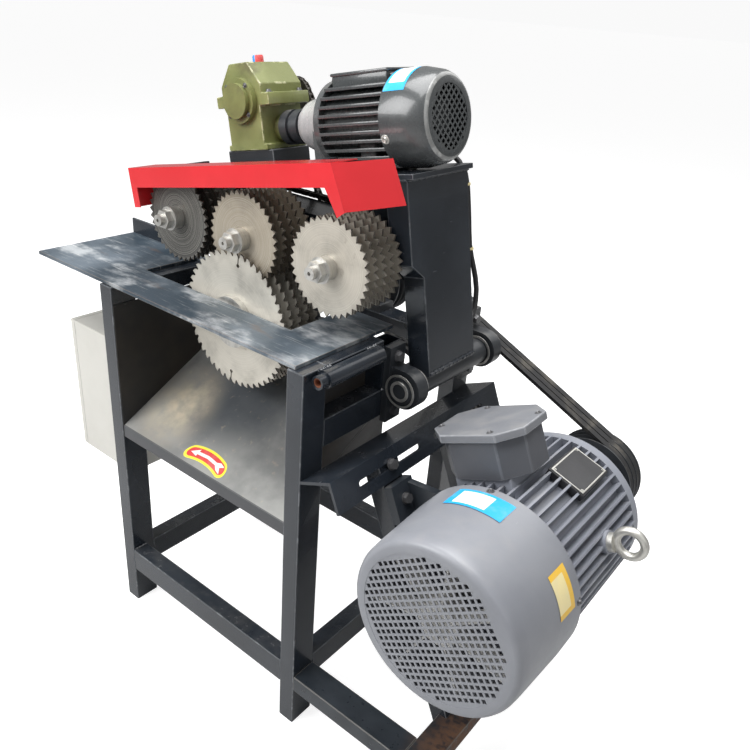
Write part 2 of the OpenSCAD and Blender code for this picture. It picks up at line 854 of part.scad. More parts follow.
module control_box() {
    color(cream) in_plan() translate([-frame_l - box_l, box_y, box_z]) {
        difference() {
            cube([box_l, box_w, box_h]);
            translate([-overrun, box_wall, box_wall])
                cube([box_l + overrun - box_wall, box_w - 2 * box_wall, box_h - 2 * box_wall]);
        }
        for (share = knuckle_shares) translate([-door_gap, box_w, share * box_h + knuckle_l + free_gap]) {
            translate([0, knuckle_off, 0]) cylinder(h = knuckle_l, d = knuckle_d);
            cube([leaf_l, leaf_t, knuckle_l]);
        }
    }
}

// Mounting plate with a contactor and a breaker on the box's back wall
module switchgear() {
    color(dark_grey) in_plan() translate([-frame_l - box_wall - gear_plate[0], box_y + box_w / 2, box_z + box_h / 2]) {
        translate([0, -gear_plate[1] / 2, -gear_plate[2] / 2]) cube(gear_plate);
        translate([-gear_blocks[0][0], gear_gap, 0]) cube(gear_blocks[0]);
        translate([-gear_blocks[1][0], -gear_gap - gear_blocks[1][1], 0]) cube(gear_blocks[1]);
    }
}

// Pan door in front of the box, turning on knuckles at its rear edge
module control_door() {
    color(cream) in_plan() translate([-frame_l - box_l - door_gap, box_y, box_z]) {
        difference() {
            translate([-door_t, 0, 0]) cube([door_t, box_w, box_h]);
            translate([box_wall - door_t, box_wall, box_wall])
                cube([door_t, box_w - 2 * box_wall, box_h - 2 * box_wall]);
        }
        for (share = knuckle_shares) translate([0, box_w, share * box_h]) {
            translate([0, knuckle_off, 0]) cylinder(h = knuckle_l, d = knuckle_d);
            translate([-leaf_t - door_gap, 0, 0]) cube([leaf_t, knuckle_off, knuckle_l]);
        }
        translate([-door_t - knob_l, knob_in, box_h / 2]) rotate([0, 90, 0]) cylinder(h = knob_l, d = knob_d);
    }
}

// Saw blade outline, one hooked tooth and its gullet at a time
function polar(r, a) = [r * cos(a), r * sin(a)];
function blade_tooth(i, r) = let (step = 360 / blade_teeth, a = i * step) [
    polar(r, a), polar(r - tooth_back_r, a + step * tooth_back_share),
    polar(r - gullet_depth, a + step * gullet_share),
    polar(r - gullet_depth + gullet_rise, a + step * gullet_end_share)
];

module on_arbor(y) { in_plan() translate([arbor_x, y, arbor_z]) children(); }
module arbor_shaft() {
    color(bright_steel) on_arbor(arbor_y0) along_y()
        cylinder(h = pulley_y + pulley_w + arbor_tip - arbor_y0, d = arbor_d);
}
module saw_blades() {
    r = blade_d / 2;
    color(bright_steel)
        for (i = [0:stack_n - 1])
            on_arbor(blade_front + i * stack_pitch) along_y() linear_extrude(blade_t) difference() {
                polygon([for (k = [0:blade_teeth - 1]) each blade_tooth(k, r)]);
                circle(d = arbor_d + 2 * run_gap);
                for (k = [0:slot_n - 1]) rotate(k * 360 / slot_n + gullet_share * 360 / blade_teeth) {
                    translate([r - slot_cut_l, -slot_cut_w / 2]) square([slot_cut_l, slot_cut_w]);
                    translate([r - slot_cut_l, 0]) circle(r = slot_hole_r);
                }
            }
}
module blade_spacers() {
    bore = arbor_d + 2 * run_gap;
    color(bright_steel) on_arbor(0) {
        ring_y(blade_front - flange_t, flange_t, flange_d, bore);
        for (i = [0:stack_n - 2])
            ring_y(blade_front + blade_t + i * stack_pitch, stack_pitch - blade_t, blade_spacer_d, bore);
        ring_y(blade_rear, flange_t, flange_d, bore);
    }
}
module arbor_nut() {
    color(bright_steel) on_arbor(blade_front - flange_t - arbor_nut_h) difference() {
        along_y() cylinder(h = arbor_nut_h, d = arbor_nut_d, $fn = 6);
        translate([0, -overrun, 0]) along_y() cylinder(h = arbor_nut_h + 2 * overrun, d = arbor_d + 2 * run_gap);
    }
}
module arbor_pulley() { color(cast_black) on_arbor(pulley_y) belt_pulley(arbor_d); }

module motor_shaft() {
    color(bright_steel) on_motor() translate([0, fan_start, 0]) along_y()
        cylinder(h = mm_total + mm_shaft_out - fan_start, d = mm_shaft_d);
}
module motor_fan() {
    color(cream) on_motor() fan(mm_cowl_r - mm_fan_gap, mm_shaft_d, mm_shaft_d + 2 * run_gap);
}
module motor_pulley() {
    color(cast_black) on_motor() translate([0, pulley_y - mm_face_y, 0]) belt_pulley(mm_shaft_d);
}

module pivot_shaft() {
    shaft_y = front_pivot_y - pivot_shaft_over;
    tube_y = front_pivot_y + pivot_tube_gap;
    color(bright_steel) in_plan() translate([pivot_x, 0, pivot_z]) {
        translate([0, shaft_y, 0]) along_y() cylinder(h = rear_y + pivot_shaft_over - shaft_y, d = pivot_shaft_d);
        translate([0, tube_y, 0]) along_y() cylinder(h = rear_y - pivot_tube_gap - tube_y, d = pivot_tube_d);
    }
}

// Box column, narrower at its foot, where it is saddled on the pivot tube
module column() {
    w = column_wall;
    color(paint) on_head() difference() {
        translate([column_x, 0, 0]) profile_x(column_t) polygon([
            [column_y[1], column_foot], [column_y[2], column_foot], [column_y[2], plate_rise],
            [column_y[0], plate_rise], [column_y[0], column_step[1]], [column_y[1], column_step[0]]
        ]);
        translate([column_x + w, 0, 0]) profile_x(column_t - 2 * w) polygon([
            [column_y[1] + w, pocket_foot], [column_y[2] - w, pocket_foot], [column_y[2] - w, plate_rise + w],
            [column_y[0] + w, plate_rise + w], [column_y[0] + w, column_step[1] + w / 2],
            [column_y[1] + w, column_step[0] + w / 2]
        ]);
        along_y() cylinder(h = frame_w, d = pivot_tube_d);
    }
}

// Level tube that holds the shaft sleeves, with a short stub to the top plate at its far end
module lower_arm() {
    w = arm_y[1] - arm_y[0];
    color(paint) difference() {
        in_plan() difference() {
            union() {
                difference() {
                    translate([arm_x, arm_y[0], arm_z]) cube([arm_reach, w, arm_h]);
                    translate([arm_x - overrun, arm_y[0] + arm_wall, arm_z + arm_wall])
                        cube([arm_reach + 2 * overrun, w - 2 * arm_wall, arm_h - 2 * arm_wall]);
                }
                translate([arm_x, arm_y[0], arm_z + arm_h]) cube([stub_l, w, stub_h]);
            }
            for (x = feed_x) translate([x, 0, feed_z]) along_y() cylinder(h = frame_w, d = sleeve_d);
        }
        on_head() translate([column_x, 0, -plate_rise]) cube([arm_reach, frame_w, 2 * plate_rise]);
        on_head() translate([-2 * arm_reach, 0, plate_rise]) cube([2 * arm_reach, frame_w, plate_rise]);
    }
}

module shaft_sleeves() {
    color(paint) in_plan()
        for (x = feed_x)
            translate([x, 0, feed_z]) ring_y(sleeve_y, sleeve_l, sleeve_d, feed_shaft_d + 2 * run_gap);
}

module top_plate() {
    color(paint) on_head() translate([0, 0, plate_rise]) linear_extrude(plate_t) polygon([
        [plate_x[0], plate_y[0]], [plate_x[1], plate_y[0]], [plate_x[1], plate_y[2]],
        [plate_notch_x, plate_y[2]], [plate_notch_x, plate_y[1]], [plate_x[0], plate_y[1]]
    ]);
}

// Bent sheet over the discs: front strip and top, left wall with a lip and a flared right wing with a lip
module feed_guard() {
    inner = sheet_t / 2;
    color(guard_red) on_head() {
        translate([guard_x[0], guard_y, guard_top]) profile_x(guard_x[1] - guard_x[0]) polygon([
            [0, 0], [0, -guard_h], [sheet_t, -guard_h], [sheet_t, -sheet_t], [guard_depth, -sheet_t], [guard_depth, 0]
        ]);
        translate([guard_x[0], guard_y, guard_top - guard_skirt]) linear_extrude(guard_skirt - inner) polygon([
            [0, 0], [guard_lip, 0], [guard_lip, sheet_t], [sheet_t, sheet_t], [sheet_t, guard_wall_w], [0, guard_wall_w]
        ]);
        translate([guard_x[1] - inner, guard_y + inner, guard_top - inner]) rotate([0, -wing_flare, 0]) {
            rotate([0, 0, -wing_yaw]) translate([-sheet_t, 0, 0]) profile_x(sheet_t) polygon([
                [0, 0], [wing_l, -wing_drop], [wing_l, -wing_drop - wing_h], [0, -wing_h]
            ]);
            translate([-wing_lip, 0, -wing_h + inner]) cube([wing_lip - inner, sheet_t, wing_h - sheet_t - inner]);
        }
    }
}

// Strips that hang the guard from the top plate
module guard_brackets() {
    arm_up = guard_top - sheet_t - bracket_t;
    color(paint) on_head()
        for (x = bracket_x) translate([x, 0, 0]) profile_x(bracket_w) polygon([
            [bracket_y[0], arm_up], [bracket_y[1], arm_up], [bracket_y[1], plate_top], [bracket_y[2], plate_top],
            [bracket_y[2], plate_top + bracket_t], [bracket_y[1] + bracket_t, plate_top + bracket_t],
            [bracket_y[1] + bracket_t, arm_up + bracket_t], [bracket_y[0], arm_up + bracket_t]
        ]);
}

module reducer_block() {
    color(cast_black) on_head() translate([reducer_x - block_over, block_y[0], plate_top])
        cube([reducer_l + 2 * block_over, block_y[1] - block_y[0], reducer_block_h]);
}

// Split reducer case: foot, waisted body, lugs at the split line and a sloped roof
module reducer_housing() {
    w = reducer_y[1] - reducer_y[0];
    half = reducer_l / 2;
    waist = half - reducer_waist;
    split_z = output_z - split_h / 2;
    color(olive) on_head() difference() {
        union() {
            translate([reducer_x, reducer_y[0], reducer_z]) cube([reducer_l, w, reducer_foot_h]);
            translate([output_along, reducer_y[0], 0]) profile_y(w) polygon([
                [-waist, reducer_z], [waist, reducer_z], [waist, split_z], [half, split_z],
                [half, roof_z + roof_step], [roof_flat / 2, roof_z + roof_h], [-roof_flat / 2, roof_z + roof_h],
                [-half, roof_z + roof_step], [-half, split_z], [-waist, split_z]
            ]);
            for (y = [reducer_y[0], reducer_y[1] - split_lug_w])
                translate([reducer_x - split_over, y, split_z])
                    cube([reducer_l + 2 * split_over, split_lug_w, split_h]);
            translate([output_along, reducer_y[0] - boss_l, output_z]) along_y()
                cylinder(h = boss_l + overrun, d = boss_d);
            translate([output_along, reducer_y[1], output_z]) along_y() cylinder(h = boss_l / 2, d = rear_boss_d);
        }
        translate([output_along, output_y0, output_z]) along_y() cylinder(h = w + boss_l, d = output_d + 2 * run_gap);
        translate([reducer_right - worm_l, drive_y, worm_z]) rotate([0, 90, 0])
            cylinder(h = worm_l + overrun, d = worm_d + 2 * run_gap);
    }
}

// Bearing caps, worm cap with the shaft's hole, blind cap and filler plug
module reducer_caps() {
    cap_reach = cap_l + reducer_waist;
    color(olive) on_head() {
        translate([output_along, reducer_y[0] - boss_l - cap_l, output_z]) along_y() cylinder(h = cap_l, d = cap_d);
        translate([reducer_right - reducer_waist, drive_y, worm_z]) rotate([0, 90, 0]) difference() {
            cylinder(h = cap_reach, d = worm_cap_d);
            translate([0, 0, -overrun]) cylinder(h = cap_reach + 2 * overrun, d = worm_d + 2 * run_gap);
        }
        translate([reducer_x + reducer_waist - cap_l, drive_y, worm_z]) rotate([0, 90, 0])
            cylinder(h = cap_l, d = worm_cap_d);
        translate([output_along, drive_y, roof_z + roof_h]) cylinder(h = plug_h, d = plug_d);
    }
}

module feed_motor_body() {
    fin_reach = 2 * fm_fin_r;
    color(dark_grey) on_feed_motor() difference() {
        union() {
            translate([0, fm_cowl_l - cowl_seat, 0]) along_y() cylinder(h = cowl_seat, r = fm_cowl_r - cowl_t);
            translate([0, fm_cowl_l, 0]) along_y() linear_extrude(fm_body_l) union() {
                circle(r = fm_core_r);
                intersection() {
                    circle(r = fm_fin_r);
                    union() {
                        for (i = [-fm_fin_n:fm_fin_n])
                            translate([0, i * fm_fin_pitch]) square([fin_reach, fm_fin_t], center = true);
                        for (i = [-fm_top_fin_n:fm_top_fin_n])
                            translate([i * fm_fin_pitch, 0]) square([fm_fin_t, fin_reach], center = true);
                    }
                }
            }
            nose(fm_nose, fm_cowl_l + fm_body_l);
            for (y = fm_foot_y, side = [0, 1]) translate([0, y - fm_foot_l / 2, -fm_axis_h]) mirror([side, 0, 0]) {
                translate([fm_foot_x[0], 0, 0]) cube([fm_foot_x[1] - fm_foot_x[0], fm_foot_l, fm_foot_t]);
                translate([fm_web_x[0], 0, 0]) cube([fm_web_x[1] - fm_web_x[0], fm_foot_l, fm_axis_h]);
            }
            translate([-fm_box[0] / 2, fm_box_y - fm_box[1] / 2, 0]) cube([fm_box[0], fm_box[1], fm_pad_z]);
        }
        along_y() cylinder(h = fm_total + overrun, d = fm_shaft_d + 2 * run_gap);
        for (x = [-fm_bolt_x, fm_bolt_x], y = fm_foot_y)
            translate([x, y, -fm_axis_h - overrun])
                cylinder(h = fm_foot_t + 2 * overrun, d = bolt_d + 2 * free_gap);
    }
}
module feed_fan_cowl() {
    color(dark_grey) on_feed_motor() fan_cowl(fm_cowl_r, fm_cowl_l, fm_hole, fm_hole_pitch, fm_grille_r);
}
module feed_terminal_box() {
    color(dark_grey) on_feed_motor() translate([-fm_box[0] / 2, fm_box_y - fm_box[1] / 2, fm_pad_z]) cube(fm_box);
}
module feed_bolts() {
    color(bright_steel) on_feed_motor()
        for (x = [-fm_bolt_x, fm_bolt_x], y = fm_foot_y) translate([x, y, fm_foot_t - fm_axis_h]) bolt(fm_foot_t);
}

// Pins on the straight runs of a chain that no sprocket tooth passes
function free_pins(run) = [
    for (i = [clear_pins:run - clear_pins], side = [-1, 1]) [i * chain_pitch, side * sprocket_r]
];

// Roller chain lying flat: two runs of link plates, and the rollers that stand clear of the sprockets' teeth
module chain_loop(run) {
    for (z = [-chain_half - link_t, chain_half]) translate([0, 0, z]) linear_extrude(link_t) difference() {
        chain_outline(sprocket_r + link_r, run);
        chain_outline(sprocket_r - link_r, run);
    }
    for (pin = free_pins(run)) translate([pin[0], pin[1], -chain_half]) cylinder(h = 2 * chain_half, r = roller_r);
}
module chain_outline(r, run) {
    c = run * chain_pitch;
    circle(r = r);
    translate([c, 0]) circle(r = r);
    translate([0, -r]) square([c, 2 * r]);
}
module feed_chains() {
    color(bright_steel) {
        on_plane(feed_x[2], chain_ys[0], feed_z) chain_loop(left_run);
        on_plane(feed_x[1], chain_ys[1], feed_z) chain_loop(right_run);
        on_plane(feed_x[1], chain_ys[2], feed_z) rotate([0, 0, reducer_run_angle]) chain_loop(reducer_run);
    }
}

// Sprocket lying flat and centred on its thickness, with a tooth gap at the given angle
module sprocket(angle) {
    seat = roller_r + roller_gap;
    tip = sprocket_r + sprocket_tip;
    translate([0, 0, -sprocket_t / 2]) linear_extrude(sprocket_t) difference() {
        circle(r = tip);
        for (i = [0:sprocket_teeth - 1]) rotate(i * 360 / sprocket_teeth + angle) {
            translate([sprocket_r, 0]) circle(r = seat);
            polygon([
                [sprocket_r, -seat], [tip + overrun, -seat * tooth_flare_share],
                [tip + overrun, seat * tooth_flare_share], [sprocket_r, seat]
            ]);
        }
    }
}

// Feed shaft with its sprockets, given as rows of chain number and tooth angle
module feed_shaft(x, rows) {
    body_y = feed_tip_y + feed_tip_l;
    color(bright_steel) {
        in_plan() translate([x, 0, feed_z]) difference() {
            union() {
                translate([0, feed_tip_y, 0]) along_y() cylinder(h = feed_tip_l + overrun, d = feed_thread_d);
                translate([0, body_y, 0]) along_y() cylinder(h = shaft_end_y - body_y, d = feed_shaft_d);
            }
            translate([0, feed_tip_y - overrun, 0]) along_y() cylinder(h = centre_hole_l + overrun, d = centre_hole_d);
        }
        for (row = rows) on_plane(x, chain_ys[row[0]], feed_z) sprocket(row[1]);
    }
}
module feed_discs(x) {
    r = disc_d / 2;
    step = 180 / disc_teeth;
    color(bright_steel)
        for (i = [0:stack_n - 1])
            in_plan() translate([x, disc_front + i * stack_pitch, feed_z]) along_y() linear_extrude(disc_t)
                difference() {
                    polygon([for (k = [0:2 * disc_teeth - 1]) polar(k % 2 == 0 ? r : r - disc_tooth_h, k * step)]);
                    circle(d = feed_shaft_d + 2 * run_gap);
                }
}
module feed_collars(x) {
    bore = feed_shaft_d + 2 * run_gap;
    washer_y = feed_tip_y + feed_tip_l;
    cone_y = washer_y + feed_washer_t;
    color(bright_steel) in_plan() translate([x, 0, feed_z]) {
        translate([0, feed_nut_y, 0]) difference() {
            along_y() cylinder(h = washer_y - feed_nut_y, d = feed_nut_d, $fn = 6);
            translate([0, -overrun, 0]) along_y()
                cylinder(h = washer_y - feed_nut_y + 2 * overrun, d = feed_thread_d + 2 * run_gap);
        }
        ring_y(washer_y, feed_washer_t, feed_washer_d, bore);
        ring_y(cone_y, disc_front - cone_y, feed_spacer_d, bore);
        for (i = [0:stack_n - 2])
            ring_y(disc_front + disc_t + i * stack_pitch, stack_pitch - disc_t, feed_spacer_d, bore);
        ring_y(disc_rear, sleeve_y - free_gap - disc_rear, feed_collar_d, bore);
    }
}
module right_feed_shaft() { feed_shaft(feed_x[0], [[1, 0]]); }
module right_feed_discs() { feed_discs(feed_x[0]); }
module right_feed_collars() { feed_collars(feed_x[0]); }
module middle_feed_shaft() { feed_shaft(feed_x[1], [[0, 0], [1, 0], [2, reducer_run_angle]]); }
module middle_feed_discs() { feed_discs(feed_x[1]); }
module middle_feed_collars() { feed_collars(feed_x[1]); }
module left_feed_shaft() { feed_shaft(feed_x[2], [[0, 0]]); }
module left_feed_discs() { feed_discs(feed_x[2]); }
module left_feed_collars() { feed_collars(feed_x[2]); }

module output_shaft() {
    color(bright_steel) {
        on_plane(output_x, shaft_end_y, output_up) cylinder(h = shaft_end_y - output_y0, d = output_d);
        on_plane(output_x, chain_ys[2], output_up) sprocket(reducer_run_angle);
    }
}

// Feed motor's rotor: fan, shaft, coupling of two hubs with a neck between, and the worm's shaft
module worm_drive() {
    nose_y = fm_face - coupling_x - coupling_l;
    half_l = (coupling_l - coupling_neck_l) / 2;
    worm_end = fm_face - reducer_right + worm_l - overrun;
    color(bright_steel) on_feed_motor() {
        fan(fm_cowl_r - fm_fan_gap, fm_shaft_d, fm_shaft_d / 2);
        translate([0, fan_start + overrun, 0]) along_y()
            cylinder(h = nose_y + half_l - fan_start - overrun, d = fm_shaft_d);
        translate([0, nose_y, 0]) along_y() {
            cylinder(h = half_l, d = coupling_d);
            cylinder(h = coupling_l, d = coupling_neck_d);
            translate([0, 0, half_l + coupling_neck_l]) cylinder(h = half_l, d = coupling_d);
            cylinder(h = worm_end - nose_y, d = worm_d);
        }
    }
}

// Ring of cable points around one route point, square to the route there
function cable_dir(i) = let (
    a = cable_route[max(i - 1, 0)], b = cable_route[min(i + 1, len(cable_route) - 1)], d = b - a
) d / norm(d);
function cable_ring(i) = let (
    t = cable_dir(i), u0 = cross(t, cable_side), u = u0 / norm(u0), v = cross(t, u)
) [for (k = [0:cable_sides - 1]) let (c = polar(cable_d / 2, k * 360 / cable_sides))
    cable_route[i] + c[0] * u + c[1] * v];

module motor_cable() {
    n = len(cable_route);
    m = cable_sides;
    sides = [for (i = [0:n - 2], k = [0:m - 1])
        [i * m + k, i * m + (k + 1) % m, (i + 1) * m + (k + 1) % m, (i + 1) * m + k]];
    ends = [[for (k = [0:m - 1]) m - 1 - k], [for (k = [0:m - 1]) (n - 1) * m + k]];
    color(belt_black) on_head() polyhedron([for (i = [0:n - 1]) each cable_ring(i)], concat(sides, ends));
}

legs();
low_rails();
base_rails();
upper_rails();
pivot_post();
motor_bars();
slotted_bracket();
table_plate();
infeed_fence();
chip_chute();
side_panel();
outfeed_socket();
control_box();
switchgear();
pivot_bearings();
arbor_bearings();
bearing_bolts();
main_motor_body();
main_fan_cowl();
terminal_box();
terminal_lid();
lifting_eye();
foot_bolts();
drive_belts();
control_door();
arbor_shaft();
saw_blades();
blade_spacers();
arbor_nut();
arbor_pulley();
motor_shaft();
motor_fan();
motor_pulley();
pivot_shaft();
column();
lower_arm();
shaft_sleeves();
top_plate();
feed_guard();
guard_brackets();
reducer_block();
reducer_housing();
reducer_caps();
feed_motor_body();
feed_fan_cowl();
feed_terminal_box();
feed_bolts();
feed_chains();
motor_cable();
right_feed_shaft();
right_feed_discs();
right_feed_collars();
middle_feed_shaft();
middle_feed_discs();
middle_feed_collars();
left_feed_shaft();
left_feed_discs();
left_feed_collars();
output_shaft();
worm_drive();
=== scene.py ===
"""Looks of a multi rip saw around its CAD frame: paint, bare steel, cowls, chains, welds and blank labels."""
import json
import math

import bmesh
import bpy
from mathutils import Matrix, Vector


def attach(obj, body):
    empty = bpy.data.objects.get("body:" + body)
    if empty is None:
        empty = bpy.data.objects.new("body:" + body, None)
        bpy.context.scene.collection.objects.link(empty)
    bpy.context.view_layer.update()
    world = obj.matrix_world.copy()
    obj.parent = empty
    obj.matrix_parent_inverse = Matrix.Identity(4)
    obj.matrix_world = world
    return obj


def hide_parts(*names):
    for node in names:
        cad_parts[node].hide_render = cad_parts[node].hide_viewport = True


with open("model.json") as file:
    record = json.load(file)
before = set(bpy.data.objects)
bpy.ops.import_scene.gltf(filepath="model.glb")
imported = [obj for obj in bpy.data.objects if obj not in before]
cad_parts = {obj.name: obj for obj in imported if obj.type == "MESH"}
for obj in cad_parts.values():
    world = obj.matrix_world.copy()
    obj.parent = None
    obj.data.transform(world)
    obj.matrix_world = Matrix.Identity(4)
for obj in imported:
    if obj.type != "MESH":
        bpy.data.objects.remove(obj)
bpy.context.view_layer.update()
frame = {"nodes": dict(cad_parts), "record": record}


def move(x, y, z):
    return Matrix.Translation((x, y, z))


def turn(degrees, axis):
    return Matrix.Rotation(math.radians(degrees), 4, axis)


# Axes along Y, as X and Z in the machine's plan
ARBOR = (-0.327, 0.827)
PIVOT = (0.0429, 0.767)
MOTOR_AXIS = (0.33, 0.528)
OUTPUT = (-0.46372, 1.239004)
FEEDS = {"right": (-0.084, 1.004), "middle": (-0.3126, 1.004), "left": (-0.5158, 1.004)}

# On the feed head: the middle of its drive, the reducer's X and the height at which the reducer splits
DRIVE_Y = 0.345
REDUCER_X = -0.407249
SPLIT_Z = 0.56

# Frames of the machine: its plan, the tilted feed head, the leaning main motor and the feed motor on the head
PLAN = move(0.149818, -0.308, 0)
HEAD = PLAN @ move(PIVOT[0], 0, PIVOT[1]) @ turn(-11, "Y")
MOTOR = PLAN @ move(MOTOR_AXIS[0], -0.03, MOTOR_AXIS[1]) @ turn(66, "Y")
FEED_MOTOR = HEAD @ move(0.068751, DRIVE_Y, 0.5) @ turn(90, "Z")
TO_XZ = turn(90, "X")

MAIN_COWL_R, MAIN_COWL_L = 0.172, 0.198
FEED_COWL_R, FEED_COWL_L = 0.088, 0.095
LABEL_LIFT = 0.0004
LABEL_T = 0.0002
SHARP = math.radians(32)


class Tone:
    """A socket of a finish that takes part in sums, so that masks read as arithmetic."""

    def __init__(self, finish, socket):
        self.finish = finish
        self.socket = socket

    def sum(self, operation, *values):
        return self.finish.add("ShaderNodeMath", {"operation": operation}, dict(enumerate(values)))

    def __add__(self, other):
        return self.sum("ADD", self, other)

    def __sub__(self, other):
        return self.sum("SUBTRACT", self, other)

    def __rsub__(self, other):
        return self.sum("SUBTRACT", other, self)

    def __mul__(self, other):
        return self.sum("MULTIPLY", self, other)

    __radd__ = __add__
    __rmul__ = __mul__


class Finish:
    """A material and the few kinds of node that its look is worked out from."""

    def __init__(self, name):
        self.material = bpy.data.materials.new(name)
        self.material.use_nodes = True
        self.tree = self.material.node_tree
        self.shader = self.tree.nodes["Principled BSDF"]

    def add(self, kind, settings=None, values=None, out=0):
        node = self.tree.nodes.new(kind)
        for key, value in (settings or {}).items():
            setattr(node, key, value)
        for key, value in (values or {}).items():
            self.feed(node.inputs[key], value)
        return Tone(self, node.outputs[out])

    def feed(self, socket, value):
        if isinstance(value, Tone):
            self.tree.links.new(value.socket, socket)
        elif socket.type == "RGBA":
            socket.default_value = (*value, 1)
        else:
            socket.default_value = value

    def vector(self, operation, *values, out=0):
        return self.add("ShaderNodeVectorMath", {"operation": operation}, dict(enumerate(values)), out)

    def spot(self, stretch=(1, 1, 1)):
        return self.vector("MULTIPLY", self.add("ShaderNodeTexCoord", out="Object"), stretch)

    def part(self, vector, axis):
        return self.add("ShaderNodeSeparateXYZ", None, {0: vector}, axis)

    def facing(self, axis):
        return self.part(self.add("ShaderNodeTexCoord", out="Normal"), axis)

    def noise(self, scale, detail=3, stretch=(1, 1, 1), rough=0.55):
        return self.add("ShaderNodeTexNoise", None, {
            "Vector": self.spot(stretch), "Scale": scale, "Detail": detail, "Roughness": rough})

    def mask(self, value, low, high):
        return self.add("ShaderNodeMapRange", {"interpolation_type": "SMOOTHSTEP"}, {
            "Value": value, "From Min": low, "From Max": high})

    def mix(self, below, above, share):
        return self.add("ShaderNodeMix", {"data_type": "RGBA"}, {0: share, 6: below, 7: above}, 2)

    # Faces of rounded edges: where wear and the painted edge highlight go.
    def edge_wear_and_highlight(self):
        return self.add("ShaderNodeAttribute", {"attribute_name": "edge_wear_and_highlight"}, None, "Fac")

    def near(self, middle, stretch=(1, 1, 1)):
        """Distance from a point in the row frame, with each axis stretched."""
        off = self.vector("SUBTRACT", self.spot(stretch), tuple(a * b for a, b in zip(middle, stretch)))
        return self.vector("LENGTH", off, out="Value")

    def from_axis(self, axis):
        """Distance from a line along Y through the axis' X and Z in the machine's plan."""
        return self.near(PLAN @ Vector((axis[0], 0, axis[1])), (1, 0, 1))

    def relief(self, height, depth):
        return self.add("ShaderNodeBump", None, {"Height": height, "Distance": depth})

    def dress(self, **sockets):
        for key, value in sockets.items():
            self.feed(self.shader.inputs[key.replace("_", " ").title().replace("Ior", "IOR")], value)
        return self.material


def motor_feet(f):
    """Where the main motor's feet stand out below its fins."""
    fin_r, web_top = 0.163, -0.068
    off = f.vector("SUBTRACT", f.spot(), tuple(MOTOR.translation))
    height = f.vector("DOT_PRODUCT", off, tuple(MOTOR.col[2].xyz), out="Value")
    outside = f.mask(f.from_axis(MOTOR_AXIS), fin_r, fin_r + 0.003)
    return outside * (1 - f.mask(height, web_top - 0.004, web_top))


def enamel(
        name, colour, deep, gloss, bare=(0.3, 0.3, 0.29), dust=0.25, cast=0.00008, coat=0.0, mirror=0.5,
        dark=None):
    """Sprayed paint: cloudy tone, dust on top, wear patches and a painted edge highlight on rounded edges,
    and frame paint where dark says.
    """
    dust_grey, frame_black = (0.36, 0.34, 0.31), (0.022, 0.027, 0.034)
    f = Finish(name)
    cloud, grain = f.noise(5, 4), f.noise(70, 4)
    tint = f.mix(colour, deep, f.mask(cloud, 0.35, 0.68))
    if dark:
        tint = f.mix(tint, frame_black, dark(f))
    dusty = f.mask(f.facing("Z"), 0.55, 1.0) * f.mask(f.noise(22, 5), 0.42, 0.75) * dust
    tint = f.mix(tint, dust_grey, dusty)
    # A constant pale share on every rounded edge is a painted edge highlight; the noisy patches over it are
    # wear. Both take the bare colour.
    wear_and_painted_highlight = f.edge_wear_and_highlight() * (f.mask(f.noise(38, 6), 0.50, 0.66) * 0.45 + 0.30)
    scuffed = f.mask(f.noise(120, 2, (1, 0.25, 1)), 0.72, 0.80) * 0.3
    tint = f.mix(tint, bare, wear_and_painted_highlight.sum("MAXIMUM", wear_and_painted_highlight, scuffed))
    return f.dress(
        base_color=tint, roughness=gloss + grain * 0.14 + dusty * 0.5, coat_weight=coat,
        specular_ior_level=mirror, normal=f.relief(f.noise(240, 2) + cloud * 2, cast))


def rail_finish():
    """Frame paint that gives way to rust and oil at the motor's end of the base."""
    black, grey = (0.014, 0.018, 0.023), (0.030, 0.036, 0.044)
    rust_brown, edge = (0.15, 0.075, 0.040), (0.20, 0.19, 0.17)
    rust_from, rust_full = 0.46, 0.53
    f = Finish("rusty_rail_paint")
    cloud, grain = f.noise(7, 5), f.noise(80, 4)
    tint = f.mix(black, grey, f.mask(cloud, 0.38, 0.66))
    along = f.part(f.spot(), "X") + cloud * 0.09
    rust = f.mask(along, rust_from, rust_full) * f.mask(grain + cloud, 0.75, 1.15)
    tint = f.mix(tint, rust_brown, rust * 0.85)
    tint = f.mix(tint, edge, f.edge_wear_and_highlight() * 0.45)
    return f.dress(
        base_color=tint, roughness=0.22 + grain * 0.16 + rust * 0.4, specular_ior_level=0.45,
        normal=f.relief(grain, 0.0001))


def table_finish():
    """Blued bare plate: scratches along the feed, pale rubbed patches and brown stains."""
    blue, grey = (0.040, 0.060, 0.080), (0.15, 0.185, 0.22)
    dust_pale, bright = (0.60, 0.62, 0.63), (0.70, 0.70, 0.68)
    stain_brown, edge = (0.13, 0.085, 0.06), (0.26, 0.22, 0.19)
    f = Finish("blued_table_steel")
    patch = f.noise(5, 6)
    scratch = f.noise(26, 6, (0.5, 9, 1), 0.65)
    stain = f.noise(9, 4, (1, 3, 1))
    swept = 1 - f.mask(f.near(PLAN @ Vector((-0.13, 0.07, 0.873))), 0.05, 0.24)
    dust = f.mask(f.noise(6, 8, (1, 1.8, 1), 0.62) + swept * 0.10, 0.51, 0.68)
    tint = f.mix(blue, grey, f.mask(patch, 0.38, 0.66))
    tint = f.mix(tint, dust_pale, dust * 0.62)
    tint = f.mix(tint, bright, f.mask(scratch, 0.58, 0.70) * (dust * 0.5 + 0.35))
    tint = f.mix(tint, stain_brown, f.mask(stain, 0.60, 0.74) * 0.5)
    tint = f.mix(tint, edge, f.edge_wear_and_highlight() * 0.5)
    return f.dress(
        base_color=tint, metallic=0.45, roughness=0.24 + patch * 0.2 + dust * 0.2,
        normal=f.relief(scratch, 0.0003))


